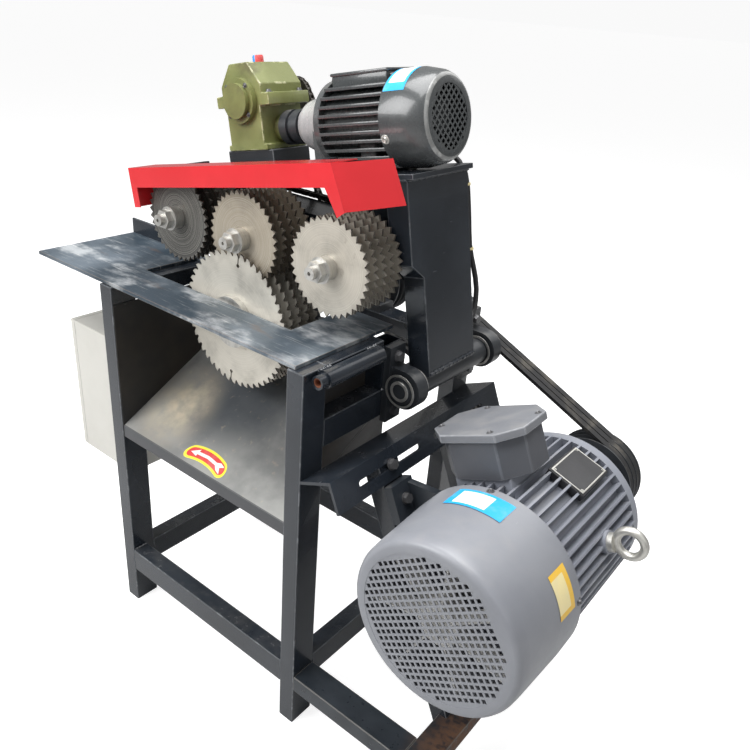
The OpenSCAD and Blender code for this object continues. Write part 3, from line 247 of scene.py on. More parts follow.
def chute_finish():
    """Grey painted sheet, darker round a spot below the arbor, with a fan of sawdust under the first blade.
    """
    pale, grey = (0.30, 0.30, 0.285), (0.17, 0.172, 0.17)
    middle_dark, sawdust = (0.045, 0.055, 0.068), (0.62, 0.54, 0.40)
    chips, lip_black, edge = (0.42, 0.36, 0.27), (0.055, 0.057, 0.062), (0.14, 0.14, 0.14)
    lip_y = (-0.3046, -0.3034)
    f = Finish("chute_sheet")
    cloud, drift = f.noise(6, 5), f.noise(24, 6)
    from_spill = f.near(PLAN @ Vector((-0.462, 0.10, 0.582)), (1.0, 0.62, 1)) + cloud * 0.06
    spill = 1 - f.mask(from_spill, 0.03, 0.15)
    # Darker round a spot below the arbor.
    dark = 1 - f.mask(f.near(PLAN @ Vector((-0.33, 0.17, 0.62))), 0.04, 0.20)
    tint = f.mix(pale, grey, f.mask(cloud, 0.38, 0.64))
    tint = f.mix(tint, middle_dark, dark * 0.75)
    tint = f.mix(tint, sawdust, spill * f.mask(drift, 0.15, 0.75))
    tint = f.mix(tint, chips, f.mask(f.noise(60, 5), 0.60, 0.75) * 0.35)
    tint = f.mix(lip_black, tint, f.mask(f.part(f.spot(), "Y"), *lip_y))
    tint = f.mix(tint, edge, f.edge_wear_and_highlight() * 0.4)
    return f.dress(
        base_color=tint, metallic=0.2, roughness=0.30 + drift * 0.2, normal=f.relief(drift, 0.0002))


def ground_steel(name, axis, colour, tip, first):
    """Ground steel round its axis: tarnish, teeth resin, painted shade on rims, brown dirt and painted shade
    behind the first plate.
    """
    bright, stain_brown = (0.80, 0.77, 0.69), (0.16, 0.11, 0.07)
    resin_and_shade_brown, rim = (0.085, 0.068, 0.052), (0.035, 0.028, 0.022)
    f = Finish(name)
    radius = f.from_axis(axis)
    behind = f.mask(f.part(f.spot(), "Y"), first, first + 0.004)
    resin = f.mask(radius + f.noise(30, 3) * 0.012, tip - 0.006, tip + 0.006)
    rings = f.add(
        "ShaderNodeTexNoise", {"noise_dimensions": "1D"}, {"W": radius, "Scale": 900.0, "Detail": 3.0})
    tarnish = f.noise(14, 5)
    tint = f.mix(colour, tuple(0.72 * c for c in colour), f.mask(tarnish, 0.45, 0.72))
    tint = f.mix(tint, bright, f.mask(rings, 0.52, 0.66) * 0.35)
    tint = f.mix(tint, stain_brown, f.mask(f.noise(45, 5), 0.64, 0.78) * 0.45)
    # Plates behind the first get brown dirt and painted shade of the stack, less at the resin-covered tips;
    # tarnish makes it patchy.
    resin_and_stack_shade = resin * 0.26 + behind * (0.18 + tarnish * 0.40) * (1 - resin * 0.5)
    tint = f.mix(tint, resin_and_shade_brown, resin_and_stack_shade)
    # Faces that don't face along Y, the rims between plates, are darkened: painted shade in the gaps of the
    # stack.
    flat = f.facing("Y")
    tint = f.mix(tint, rim, (1 - flat * flat) * 0.72)
    return f.dress(
        base_color=tint, metallic=0.45, roughness=0.34 + tarnish * 0.2, normal=f.relief(rings, 0.00006))


def turned_steel(name, colour=(0.60, 0.59, 0.56), metallic=0.9, gloss=0.28, soil=0.4):
    """Lathe-turned steel with tool lines across Y and grime."""
    grime_black = (0.07, 0.06, 0.05)
    f = Finish(name)
    lines, grime = f.noise(60, 3, (1, 14, 1)), f.noise(26, 5)
    tint = f.mix(colour, tuple(0.6 * c for c in colour), f.mask(lines, 0.45, 0.7) * 0.6)
    tint = f.mix(tint, grime_black, f.mask(grime, 0.55, 0.72) * soil)
    return f.dress(
        base_color=tint, metallic=metallic, roughness=gloss + grime * 0.25, normal=f.relief(lines, 0.00008))


def moulded(name, colour, gloss, depth=0.0001):
    """Plastic or rubber with a fine grain."""
    f = Finish(name)
    grain, cloud = f.noise(160, 3), f.noise(8, 4)
    pale = tuple(min(1, 1.5 * c + 0.01) for c in colour)
    tint = f.mix(colour, pale, f.mask(cloud, 0.45, 0.75) * 0.7)
    return f.dress(base_color=tint, roughness=gloss + grain * 0.15, normal=f.relief(grain, depth))


def belt_finish():
    """Moulded rubber, chalky where the flanks rub."""
    black, chalk_grey = (0.016, 0.016, 0.017), (0.10, 0.09, 0.075)
    f = Finish("belt_rubber")
    weave, chalk = f.noise(420, 2, (1, 3, 1)), f.noise(16, 5)
    tint = f.mix(black, chalk_grey, f.mask(chalk, 0.48, 0.72))
    return f.dress(base_color=tint, roughness=0.62 + chalk * 0.2, normal=f.relief(weave, 0.0002))


def reducer_finish():
    """Olive enamel over a sand casting, oily brown in patches."""
    olive, pale_olive = (0.150, 0.165, 0.048), (0.240, 0.262, 0.100)
    oil_brown, edge = (0.060, 0.045, 0.022), (0.42, 0.42, 0.24)
    f = Finish("reducer_olive")
    sand, oil = f.noise(150, 4), f.noise(11, 5)
    tint = f.mix(olive, pale_olive, f.mask(f.noise(6, 3), 0.4, 0.65))
    tint = f.mix(tint, oil_brown, f.mask(oil, 0.50, 0.70) * 0.6)
    tint = f.mix(tint, edge, f.edge_wear_and_highlight() * f.mask(f.noise(60, 4), 0.5, 0.62))
    return f.dress(
        base_color=tint, roughness=0.32 + oil * 0.25, coat_weight=0.2, normal=f.relief(sand, 0.0005))


def printed(name, colour):
    """Printed film, a little faded."""
    f = Finish(name)
    fade = f.noise(45, 4)
    tint = f.mix(colour, tuple(0.8 * c + 0.1 for c in colour), f.mask(fade, 0.45, 0.7) * 0.6)
    return f.dress(base_color=tint, roughness=0.35 + fade * 0.15)


PAINT = enamel(
    "frame_paint", (0.011, 0.0145, 0.020), (0.021, 0.026, 0.034), gloss=0.17, bare=(0.17, 0.18, 0.19),
    dust=0.07, coat=0.2, mirror=0.45)
RUSTY = rail_finish()
TABLE = table_finish()
CHUTE = chute_finish()
PANEL = enamel(
    "panel_paint", (0.018, 0.018, 0.019), (0.040, 0.034, 0.028), gloss=0.34, bare=(0.2, 0.2, 0.2), dust=0.3,
    mirror=0.3)
# Tip radii of blades and discs, and the Y of the first plate of their stacks
BLADE_TIP, FIRST_BLADE = 0.150, -0.163
DISC_TIP, FIRST_DISC = 0.096, -0.151
BLADE = ground_steel("blade_steel", ARBOR, (0.62, 0.59, 0.52), BLADE_TIP, FIRST_BLADE)
# Tones of the three disc stacks: the middle disc is partly and the left disc wholly painted darker, as
# painted shade from the guard.
DISC_TONES_WITH_SHADE = {"right": (0.54, 0.50, 0.43), "middle": (0.40, 0.35, 0.275), "left": (0.095, 0.092, 0.085)}
DISCS = {
    side: ground_steel(f"{side}_disc_steel", FEEDS[side], tone, DISC_TIP, FIRST_DISC)
    for side, tone in DISC_TONES_WITH_SHADE.items()}
TURNED = turned_steel("turned_steel")
CHAIN = turned_steel("oiled_chain_steel", (0.13, 0.12, 0.11), metallic=0.85, gloss=0.32, soil=0.6)
ZINC = turned_steel("zinc_plated", (0.62, 0.61, 0.57), metallic=0.85, gloss=0.30, soil=0.25)
DULL = turned_steel("oiled_bolt_steel", (0.16, 0.16, 0.165), metallic=0.7, gloss=0.34, soil=0.6)
RED = enamel(
    "guard_red", (0.69, 0.024, 0.032), (0.61, 0.020, 0.026), gloss=0.14, bare=(0.6, 0.1, 0.09), dust=0.06,
    cast=0.00004, coat=0.6)
OLIVE = reducer_finish()
MOTOR_GREY = enamel(
    "motor_grey", (0.205, 0.218, 0.255), (0.245, 0.258, 0.295), gloss=0.32, bare=(0.24, 0.25, 0.27),
    dust=0.25, cast=0.00015, dark=motor_feet)
COWL_GREY = enamel(
    "cowl_grey", (0.195, 0.203, 0.226), (0.230, 0.238, 0.260), gloss=0.28, bare=(0.30, 0.31, 0.33),
    dust=0.15, cast=0.00006)
# The terminal box takes a much darker copy of the motor's grey: painted shade on the box.
SHADED_BOX_GREY = enamel(
    "shaded_box_grey", (0.068, 0.072, 0.083), (0.088, 0.092, 0.104), gloss=0.36, bare=(0.17, 0.18, 0.20),
    dust=0.25, cast=0.00015)
LID_GREY = enamel(
    "lid_grey", (0.155, 0.161, 0.176), (0.185, 0.191, 0.206), gloss=0.34, bare=(0.34, 0.35, 0.37),
    dust=0.25, cast=0.00015)
FEED_GREY = enamel(
    "feed_motor_grey", (0.050, 0.055, 0.057), (0.075, 0.080, 0.081), gloss=0.20, bare=(0.62, 0.62, 0.60),
    dust=0.25, coat=0.35)
NOSE_GREY = enamel(
    "nose_grey", (0.46, 0.46, 0.46), (0.34, 0.34, 0.345), gloss=0.20, bare=(0.5, 0.5, 0.5), dust=0.1,
    cast=0.0001, coat=0.4)
CAST = enamel(
    "cast_black", (0.020, 0.023, 0.027), (0.038, 0.041, 0.046), gloss=0.30, bare=(0.25, 0.26, 0.27),
    dust=0.3, cast=0.0003)
CREAM = enamel(
    "control_cream", (0.56, 0.55, 0.51), (0.50, 0.49, 0.45), gloss=0.38, bare=(0.5, 0.48, 0.42),
    dust=0.15, cast=0.0002)
BELT = belt_finish()
CABLE = moulded("cable_black", (0.016, 0.016, 0.017), gloss=0.45)
FAN = moulded("fan_plastic", (0.80, 0.79, 0.76), gloss=0.5)
GEAR = moulded("switchgear_plastic", (0.035, 0.035, 0.038), gloss=0.42)
BLUE = printed("label_blue", (0.02, 0.36, 0.72))
WHITE = printed("label_white", (0.80, 0.80, 0.78))
YELLOW = printed("label_yellow", (0.82, 0.50, 0.05))
LEMON = printed("label_lemon", (0.80, 0.70, 0.04))
PALE = printed("label_pale_yellow", (0.82, 0.70, 0.36))
RED_PRINT = printed("label_red", (0.62, 0.04, 0.04))
PLATE_BLACK = moulded("nameplate_black", (0.018, 0.018, 0.02), gloss=0.35)
BLUE_CAP = moulded("plug_blue", (0.03, 0.22, 0.62), gloss=0.35)
RUST = moulded("bore_rust", (0.20, 0.065, 0.030), gloss=0.7, depth=0.0004)


# Finish of each CAD node, and the edge round of those whose edges are softened
FINISHES = {
    "legs": (PAINT, 0.0022), "low_rails": (PAINT, 0.0022), "base_rails": (RUSTY, 0.0022),
    "upper_rails": (PAINT, 0.0022), "pivot_post": (PAINT, 0), "motor_bars": (PAINT, 0.0018),
    "slotted_bracket": (PAINT, 0.0010), "table_plate": (TABLE, 0.0010), "infeed_fence": (PAINT, 0.0010),
    "chip_chute": (CHUTE, 0.0008), "side_panel": (PANEL, 0), "outfeed_socket": (PAINT, 0.0007),
    "control_box": (CREAM, 0.0007), "control_door": (CREAM, 0.0015), "switchgear": (GEAR, 0.0015),
    "pivot_bearings": (CAST, 0.0016), "arbor_bearings": (CAST, 0.0016), "bearing_bolts": (DULL, 0),
    "main_motor_body": (MOTOR_GREY, 0), "terminal_box": (SHADED_BOX_GREY, 0.003), "terminal_lid": (LID_GREY, 0.0025),
    "lifting_eye": (ZINC, 0), "foot_bolts": (DULL, 0), "drive_belts": (BELT, 0),
    "arbor_shaft": (TURNED, 0), "saw_blades": (BLADE, 0), "blade_spacers": (TURNED, 0),
    "arbor_nut": (TURNED, 0), "arbor_pulley": (CAST, 0), "motor_shaft": (TURNED, 0),
    "motor_fan": (FAN, 0), "motor_pulley": (CAST, 0), "pivot_shaft": (CAST, 0),
    "column": (PAINT, 0.0020), "lower_arm": (PAINT, 0.0018), "shaft_sleeves": (PAINT, 0.0010),
    "top_plate": (PAINT, 0.0012), "feed_guard": (RED, 0.0005), "guard_brackets": (PAINT, 0.0005),
    "reducer_block": (CAST, 0.0020), "reducer_housing": (OLIVE, 0.0025), "reducer_caps": (OLIVE, 0.0015),
    "feed_bolts": (DULL, 0), "output_shaft": (CHAIN, 0), "worm_drive": (CAST, 0),
}
for side, steel in DISCS.items():
    FINISHES[f"{side}_feed_discs"] = (steel, 0)
    FINISHES[f"{side}_feed_shaft"] = (TURNED, 0)
    FINISHES[f"{side}_feed_collars"] = (TURNED, 0.0008)
BODIES = {node: body for body, nodes in frame["record"]["behaviour"]["bodies"].items() for node in nodes}
TUBES = ("legs", "low_rails", "base_rails", "upper_rails", "motor_bars")


def even_normals(bm):
    """A normal for each face corner, weighted by area, so that rounded edges leave the flats flat."""
    bm.normal_update()
    areas = {f: f.calc_area() for f in bm.faces}
    least = math.cos(SHARP)
    normals = []
    for face in bm.faces:
        for v in face.verts:
            alike = (g for g in v.link_faces if g.normal.dot(face.normal) > least)
            normals.append(sum((g.normal * areas[g] for g in alike), face.normal * areas[face]).normalized())
    return normals


def piece(name, bm, finishes, body, stands_for=(), outward=True):
    """Makes a finished piece of a bmesh in the row frame and lets it ride on a body."""
    if outward:
        bmesh.ops.recalc_face_normals(bm, faces=bm.faces)
    normals = None if outward else even_normals(bm)
    mesh = bpy.data.meshes.new(name)
    bm.to_mesh(mesh)
    bm.free()
    mesh.shade_smooth()
    mesh.set_sharp_from_angle(angle=SHARP)
    if normals:
        mesh.normals_split_custom_set(normals)
    obj = bpy.data.objects.new(name, mesh)
    bpy.context.scene.collection.objects.link(obj)
    for finish in finishes:
        mesh.materials.append(finish)
    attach(obj, body)
    if stands_for:
        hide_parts(*stands_for)


def corners(geometry):
    return [v for v in geometry if isinstance(v, bmesh.types.BMVert)]


def capped(bm):
    """Closed bars in place of a node's tubes, each the hull of one tube."""
    bars = bmesh.new()
    loose = set(bm.verts)
    while loose:
        found, waiting = set(), [loose.pop()]
        while waiting:
            v = waiting.pop()
            found.add(v)
            waiting += [e.other_vert(v) for e in v.link_edges if e.other_vert(v) not in found]
        loose -= found
        hull = bmesh.ops.convex_hull(bars, input=[bars.verts.new(v.co) for v in found])
        spare = set(corners(hull["geom_interior"] + hull["geom_unused"]))
        bmesh.ops.delete(bars, geom=list(spare), context="VERTS")
    bm.free()
    return bars


def softened(node, finish, width):
    """A copy of a CAD node with its edges rounded and marked for edge wear and a painted edge highlight."""
    bm = bmesh.new()
    bm.from_mesh(frame["nodes"][node].data)
    bmesh.ops.remove_doubles(bm, verts=bm.verts, dist=0.00002)
    if node in TUBES:
        bm = capped(bm)
    bmesh.ops.dissolve_limit(bm, angle_limit=math.radians(0.5), verts=bm.verts, edges=bm.edges)
    edge_wear_and_highlight = bm.faces.layers.float.new("edge_wear_and_highlight")

    def roomy(face):
        return 2 * face.calc_area() > 2.2 * width * face.calc_perimeter()

    sharp = [
        e for e in bm.edges
        if len(e.link_faces) == 2 and e.calc_face_angle() > SHARP and all(roomy(f) for f in e.link_faces)]
    rounded = bmesh.ops.bevel(
        bm, geom=sharp, offset=width, segments=2, profile=0.5, affect="EDGES", clamp_overlap=True,
        material=-1)
    for face in rounded["faces"]:
        face[edge_wear_and_highlight] = 1
    piece(f"{node}_dressed", bm, [finish], BODIES[node], [node], outward=False)


def dress_nodes():
    for node, (finish, width) in FINISHES.items():
        if width:
            softened(node, finish, width)
            continue
        mesh = frame["nodes"][node].data
        mesh.materials.clear()
        mesh.materials.append(finish)


def place_new(bm, before, matrix):
    """Moves the vertices that a shape has added since before."""
    bmesh.ops.transform(bm, verts=[v for v in bm.verts if v not in before], matrix=matrix)


def turned(bm, outline, steps):
    """Spins a closed outline of radius and height points round local Y."""
    verts = [bm.verts.new((r, y, 0)) for r, y in outline]
    edges = [bm.edges.new((a, b)) for a, b in zip(verts, verts[1:] + verts[:1])]
    bmesh.ops.spin(
        bm, geom=verts + edges, cent=(0, 0, 0), axis=(0, 1, 0), angle=math.tau, steps=steps, use_merge=True)


def turned_ring(bm, place, outer, inner, depth, steps=32):
    """A flat ring round local Y, with its edges broken."""
    c = 0.15 * min(outer - inner, depth)
    before = set(bm.verts)
    turned(bm, [
        (inner, 0), (outer - c, 0), (outer, c), (outer, depth - c), (outer - c, depth),
        (inner, depth)], steps)
    place_new(bm, before, place)


def pierced(bm, radius, hole, pitch, grille, angle):
    """A round sheet in local XZ with a grid of square holes inside the grille's radius."""
    sides = 60
    n = math.ceil(radius / pitch)
    lines = 2 * (2 * n + 1)
    bmesh.ops.create_grid(bm, x_segments=lines - 1, y_segments=lines - 1, size=1)

    def line(share):
        k = round((share + 1) / 2 * (lines - 1))
        return (k // 2 - n) * pitch + (hole / 2 if k % 2 else -hole / 2)

    for v in bm.verts:
        v.co = (line(v.co.x), line(v.co.y), 0)

    def opens(face):
        c = face.calc_center_median()
        off = max(abs(c.x - round(c.x / pitch) * pitch), abs(c.y - round(c.y / pitch) * pitch))
        return off < hole / 4 and c.length < grille

    bmesh.ops.delete(bm, geom=[f for f in bm.faces if opens(f)], context="FACES")
    bmesh.ops.rotate(bm, verts=bm.verts, cent=(0, 0, 0), matrix=Matrix.Rotation(angle, 3, "Z"))
    for i in range(sides):
        a = math.tau * i / sides
        out = Vector((math.cos(a), math.sin(a), 0))
        bmesh.ops.bisect_plane(
            bm, geom=bm.verts[:] + bm.edges[:] + bm.faces[:], plane_co=out * radius, plane_no=out,
            clear_outer=True)
    bmesh.ops.transform(bm, verts=bm.verts, matrix=TO_XZ)


def fan_cowl(name, place, profile, grid, chipped, finish, body, node):
    """Pressed fan cowl: a turned shell with a rolled front edge, chipped or not, and its pierced face."""
    wall, lip, face_gap, face_t = 0.003, 0.012, 0.0006, 0.0018
    hole, pitch, grille, angle = grid
    face_r = profile[0][0]
    bm = bmesh.new()
    edge_wear_and_highlight = bm.faces.layers.float.new("edge_wear_and_highlight")
    pierced(bm, face_r - lip / 2, hole, pitch, grille, angle)
    bmesh.ops.translate(bm, verts=bm.verts, vec=(0, face_gap, 0))
    bmesh.ops.solidify(bm, geom=bm.faces[:], thickness=face_t)
    inner = [(r - wall, max(y, wall)) for r, y in reversed(profile)]
    turned(bm, [(face_r - lip, 0)] + profile + inner + [(face_r - lip, wall)], 96)
    for face in bm.faces:
        c = face.calc_center_median()
        face[edge_wear_and_highlight] = chipped * (c.y < profile[2][1] and math.hypot(c.x, c.z) > face_r)
    bmesh.ops.transform(bm, verts=bm.verts, matrix=place)
    piece(name, bm, [finish], body, [node])


def chain_pins(run, pitch, r, teeth):
    """Pins of a chain round two equal sprockets, in order, in the chain's own plane."""
    half = teeth // 2
    step = math.pi / half
    c = run * pitch
    pins = [(i * pitch, r) for i in range(run + 1)]
    pins += [(c + r * math.sin(j * step), r * math.cos(j * step)) for j in range(1, half)]
    pins += [(c - i * pitch, -r) for i in range(run + 1)]
    pins += [(-r * math.sin(j * step), -r * math.cos(j * step)) for j in range(1, half)]
    return pins


def link_plate(bm, place, pitch, r, t):
    """Round-ended link plate from a circle whose far half is moved out by a pitch."""
    made = bmesh.ops.create_circle(bm, cap_ends=True, segments=12, radius=r, matrix=turn(15, "Z"))["verts"]
    for v in made:
        if v.co.x > 0:
            v.co.x += pitch
    face = made[0].link_faces[0]
    top = corners(bmesh.ops.extrude_face_region(bm, geom=[face])["geom"])
    bmesh.ops.translate(bm, verts=top, vec=(0, 0, t))
    bmesh.ops.transform(bm, verts=made + top, matrix=place)


def feed_chains():
    """Two level chains between the feed shafts and one up to the reducer's output."""
    pitch, teeth, half, plate_t = 0.0127, 20, 0.0038, 0.0014
    plate_r, roller_r, pin_r = 0.0055, 0.00425, 0.0021
    r = pitch / (2 * math.sin(math.pi / teeth))
    rise = math.atan2(OUTPUT[1] - FEEDS["middle"][1], OUTPUT[0] - FEEDS["middle"][0])
    runs = [("left", 0.415, 16, 0), ("middle", 0.431, 18, 0), ("middle", 0.447, 22, rise)]
    bm = bmesh.new()
    for side, y, run, lean in runs:
        x, z = FEEDS[side]
        base = PLAN @ move(x, y, z) @ TO_XZ @ Matrix.Rotation(lean, 4, "Z")
        pins = chain_pins(run, pitch, r, teeth)
        for i, (a, b) in enumerate(zip(pins, pins[1:] + pins[:1])):
            angle = math.atan2(b[1] - a[1], b[0] - a[0])
            at = base @ move(*a, 0) @ Matrix.Rotation(angle, 4, "Z")
            low = half + (i % 2) * plate_t
            for shift in (low, -low - plate_t):
                link_plate(bm, at @ move(0, 0, shift), pitch, plate_r, plate_t)
            for radius, depth in ((roller_r, 2 * half), (pin_r, 2 * half + 5 * plate_t)):
                bmesh.ops.create_cone(
                    bm, cap_ends=True, segments=10, radius1=radius, radius2=radius, depth=depth, matrix=at)
    piece("roller_chains", bm, [CHAIN], "head", ["feed_chains"])


def tube(bm, points, r, sides, place):
    """A round tube along points, extruded ring by ring."""
    ring = bmesh.ops.create_circle(bm, cap_ends=True, segments=sides, radius=r)["verts"]
    rings = [ring]
    for _ in points[1:]:
        edges = list({e for v in rings[-1] for e in v.link_edges if all(u in rings[-1] for u in e.verts)})
        fresh = corners(bmesh.ops.extrude_edge_only(bm, edges=edges)["geom"])
        order = {tuple(round(c, 7) for c in v.co): v for v in fresh}
        rings.append([order[tuple(round(c, 7) for c in v.co)] for v in rings[-1]])
    bmesh.ops.contextual_create(bm, geom=rings[-1])
    side = Vector((1, 0.2, 0))
    for i, loop in enumerate(rings):
        ahead = Vector(points[min(i + 1, len(points) - 1)]) - Vector(points[max(i - 1, 0)])
        ahead.normalize()
        u = ahead.cross(side).normalized()
        aim = Matrix((u, ahead.cross(u), ahead)).transposed().to_4x4()
        bmesh.ops.transform(bm, verts=loop, matrix=place @ move(*points[i]) @ aim)


def motor_cable():
    """The feed motor's lead, from its terminal box down the column to the column's foot, and its ties."""
    cable_r = 0.0055
    tie_outer, tie_inner, tie_w = 0.0070, 0.0056, 0.005
    route_mm = [
        (-60, 430.6, 486), (-60, 444, 483), (-56, 455, 474), (-42, 462, 456), (-17, 464, 434), (8, 463, 412),
        (22, 462, 388), (26, 461.6, 360), (26.5, 461.6, 332), (26.5, 461.6, 304), (26, 461.6, 276),
        (25, 463.5, 248), (24, 470, 222), (22, 481, 196), (19, 492, 170), (16, 499, 145), (13, 500, 122),
        (12, 496, 104), (12, 486, 90), (12, 472, 82), (12, 457, 80.5)]
    bm = bmesh.new()
    tube(bm, [tuple(c / 1000 for c in p) for p in route_mm], cable_r, 16, HEAD)
    piece("motor_cable_sheath", bm, [CABLE], "head", ["motor_cable"])
    ties = bmesh.new()
    for at in ((0.0255, 0.4616, 0.366), (0.0245, 0.4665, 0.236)):
        turned_ring(ties, HEAD @ move(*at) @ TO_XZ, tie_outer, tie_inner, tie_w)
    piece("cable_ties", ties, [PALE], "head")


def bearing_inserts():
    """Bright inner races and outer rims on both sides of each pillow block."""
    gap, race, rim_in, rim_out = 0.0006, 0.0065, 0.0155, 0.0200
    blocks = ((ARBOR, (0.33, 0.54), 0.054, 0.045), (PIVOT, (0.255, 0.54), 0.048, 0.03))
    bm = bmesh.new()
    for axis, ys, width, shaft in blocks:
        for y in ys:
            for face in (-1, 1):
                at = PLAN @ move(axis[0], y + face * width / 2, axis[1])
                flip = at if face > 0 else at @ turn(180, "X")
                turned_ring(bm, flip, shaft / 2 + race, shaft / 2 + gap, 0.003)
                turned_ring(bm, flip, shaft / 2 + rim_out, shaft / 2 + rim_in, 0.0014)
    piece("bearing_races", bm, [TURNED], "frame")


def bead(bm, start, end, r, place=PLAN):
    """A row of overlapping scales along a weld."""
    a, b = place @ Vector(start), place @ Vector(end)
    n = max(2, round((b - a).length / (1.1 * r)))
    for i in range(n + 1):
        size = r * (1 + 0.22 * math.sin(2.3 * i) + 0.12 * math.sin(5.1 * i))
        bmesh.ops.create_icosphere(bm, subdivisions=1, radius=size, matrix=move(*a.lerp(b, i / n)))


def welds():
    """Beads where rails meet legs, and round the head's column."""
    thin, plain, fat = 0.0032, 0.0034, 0.0042
    low_z, high_z = 0.163, 0.755
    bm = bmesh.new()
    for x0, x1 in ((-0.6, -0.56), (-0.04, 0)):
        for y in (0.06, 0.51):
            for z in (low_z, high_z):
                bead(bm, (x0 + 0.004, y, z), (x1 - 0.004, y, z), plain)
    for x in (-0.56, -0.04):
        for y in (0.002, 0.532):
            bead(bm, (x, y + 0.004, low_z), (x, y + 0.034, low_z), plain)
    for y in (0.004, 0.566):
        bead(bm, (0.001, y, 0.108), (0.001, y, 0.138), plain)
    for y in (0.038, 0.166):
        bead(bm, (0.006, y, 0.866), (0.006, y + 0.022, 0.866), 0.0045)
    bead(bm, (0.001, 0.228, 0.756), (0.001, 0.282, 0.756), 0.0036)
    for y in (0.14, 0.38):
        bead(bm, (0.287, y, 0.144), (0.287, y + 0.05, 0.144), 0.004)
    piece("frame_welds", bm, [PAINT], "frame")
    bm = bmesh.new()
    bead(bm, (0.034, 0.258, 0.3985), (0.034, 0.452, 0.3985), thin, HEAD)
    bead(bm, (-0.014, 0.2525, 0.3985), (0.030, 0.2525, 0.3985), thin, HEAD)
    bead(bm, (0.0325, 0.294, 0.021), (0.0325, 0.452, 0.021), fat, HEAD)
    bead(bm, (-0.0185, 0.294, 0.027), (-0.0185, 0.452, 0.027), fat, HEAD)
    for y in (0.302, 0.398):
        bead(bm, (-0.0195, y, 0.222), (-0.0195, y, 0.285), plain, HEAD)
    piece("head_welds", bm, [PAINT], "head")


def wrapped(name, place, radius, y, width, angle, span, faces, body, slope=0.0):
    """A thin label laid round a cowl, at and over angles in degrees; faces picks each cell's finish."""
    finishes, pick = faces
    cols, rows = 16, 8
    middle, half = math.radians(angle), math.radians(span) / 2
    bm = bmesh.new()
    bmesh.ops.create_grid(bm, x_segments=cols, y_segments=rows, size=1)
    for face in bm.faces:
        c = face.calc_center_median()
        face.material_index = pick(c.x, c.y)
    for v in bm.verts:
        a = middle + v.co.x * half
        r = radius + LABEL_LIFT + slope * v.co.y * width / 2
        v.co = (r * math.sin(a), y + v.co.y * width / 2, r * math.cos(a))
    bmesh.ops.transform(bm, verts=bm.verts, matrix=place)
    bmesh.ops.solidify(bm, geom=bm.faces[:], thickness=LABEL_T)
    piece(name, bm, finishes, body)


def labels():
    """Blank stickers on the cowls of both motors."""
    banded = ([BLUE, WHITE], lambda x, y: 0 if x > 0.35 or x < -0.75 or abs(y) > 0.75 else 1)
    edged = ([YELLOW, PALE], lambda x, y: 0 if abs(x) > 0.7 or y > 0.5 else 1)
    headed = ([BLUE, WHITE], lambda x, y: 0 if x < -0.55 or abs(y) > 0.85 else 1)
    wrapped(
        "main_cowl_label", MOTOR, MAIN_COWL_R, y=0.152, width=0.056, angle=-75, span=38, faces=banded,
        body="frame")
    wrapped(
        "main_cowl_notice", MOTOR, MAIN_COWL_R, y=0.148, width=0.049, angle=-4, span=27, faces=edged,
        body="frame", slope=0.03)
    wrapped(
        "feed_cowl_label", FEED_MOTOR, FEED_COWL_R, y=0.070, width=0.046, angle=-32, span=46, faces=headed,
        body="head")


def feed_arrow():
    """Bent oval sticker on the chute: yellow rim, red field, white arrow with a notched tail."""
    half, wide, rim, bow, rise = 0.064, 0.0185, 0.0058, 3.4, 0.008
    shaft, barb, head_w = 0.0035, 0.0095, 0.009
    place = PLAN @ move(-0.298, 0.0262, 0.5432) @ turn(28, "X") @ turn(-2, "Z")
    bm = bmesh.new()
    oval = bmesh.ops.create_circle(bm, cap_ends=True, segments=40, radius=wide)["verts"]
    for v in oval:
        v.co.x += math.copysign(half - wide, v.co.x)
    long_sides = [e for e in oval[0].link_faces[0].edges if e.calc_length() > wide]
    bmesh.ops.subdivide_edges(bm, edges=long_sides, cuts=10)
    inner = bm.faces[:]
    bmesh.ops.inset_region(bm, faces=inner, thickness=rim, use_boundary=True)
    for face in inner:
        face.material_index = 1
    upper = [(-0.030, head_w), (-0.031, shaft), (0, shaft), (0.028, shaft), (0.038, barb), (0.052, barb)]
    lower = [(x, -y) for x, y in reversed(upper)]
    outline = [(-0.050, 0)] + upper + [(0.042, 0)] + lower
    arrow = bm.faces.new([bm.verts.new((x, y, LABEL_T)) for x, y in outline])
    arrow.material_index = 2
    for v in bm.verts:
        v.co.y -= bow * v.co.x ** 2 - rise
    bmesh.ops.transform(bm, verts=bm.verts, matrix=place)
    bmesh.ops.solidify(bm, geom=bm.faces[:], thickness=LABEL_T)
    piece("feed_arrow", bm, [LEMON, RED_PRINT, WHITE], "frame")


def block(bm, size, place, width):
    """A box with rounded edges."""
    before = set(bm.verts)
    made = bmesh.ops.create_cube(bm, size=1, matrix=Matrix.Diagonal((*size, 1)))["verts"]
    edges = list({e for v in made for e in v.link_edges})
    bmesh.ops.bevel(bm, geom=edges, offset=width, segments=2, profile=0.5, affect="EDGES", material=-1)
    place_new(bm, before, place)


def screw(bm, place, r, h):
    """Round head on a washer, with a socket cut by insetting its top."""
    before = set(bm.verts)
    bmesh.ops.create_cone(
        bm, cap_ends=True, segments=20, radius1=1.5 * r, radius2=1.45 * r, depth=0.25 * h)
    head = bmesh.ops.create_cone(
        bm, cap_ends=True, segments=20, radius1=r, radius2=0.72 * r, depth=h, matrix=move(0, 0, h / 2))
    top = max({f for v in head["verts"] for f in v.link_faces}, key=lambda f: f.calc_center_median().z)
    bmesh.ops.inset_region(bm, faces=[top], thickness=0.3 * r, depth=-0.35 * h)
    place_new(bm, before, place)


def cowl_screws(bm, place, angles, cowl_r, y, r, h):
    """Screws round a cowl, at angles in degrees."""
    for angle in angles:
        a = math.radians(angle)
        at = move(cowl_r * math.sin(a), y, cowl_r * math.cos(a)) @ turn(angle, "Y")
        screw(bm, place @ at, r, h)


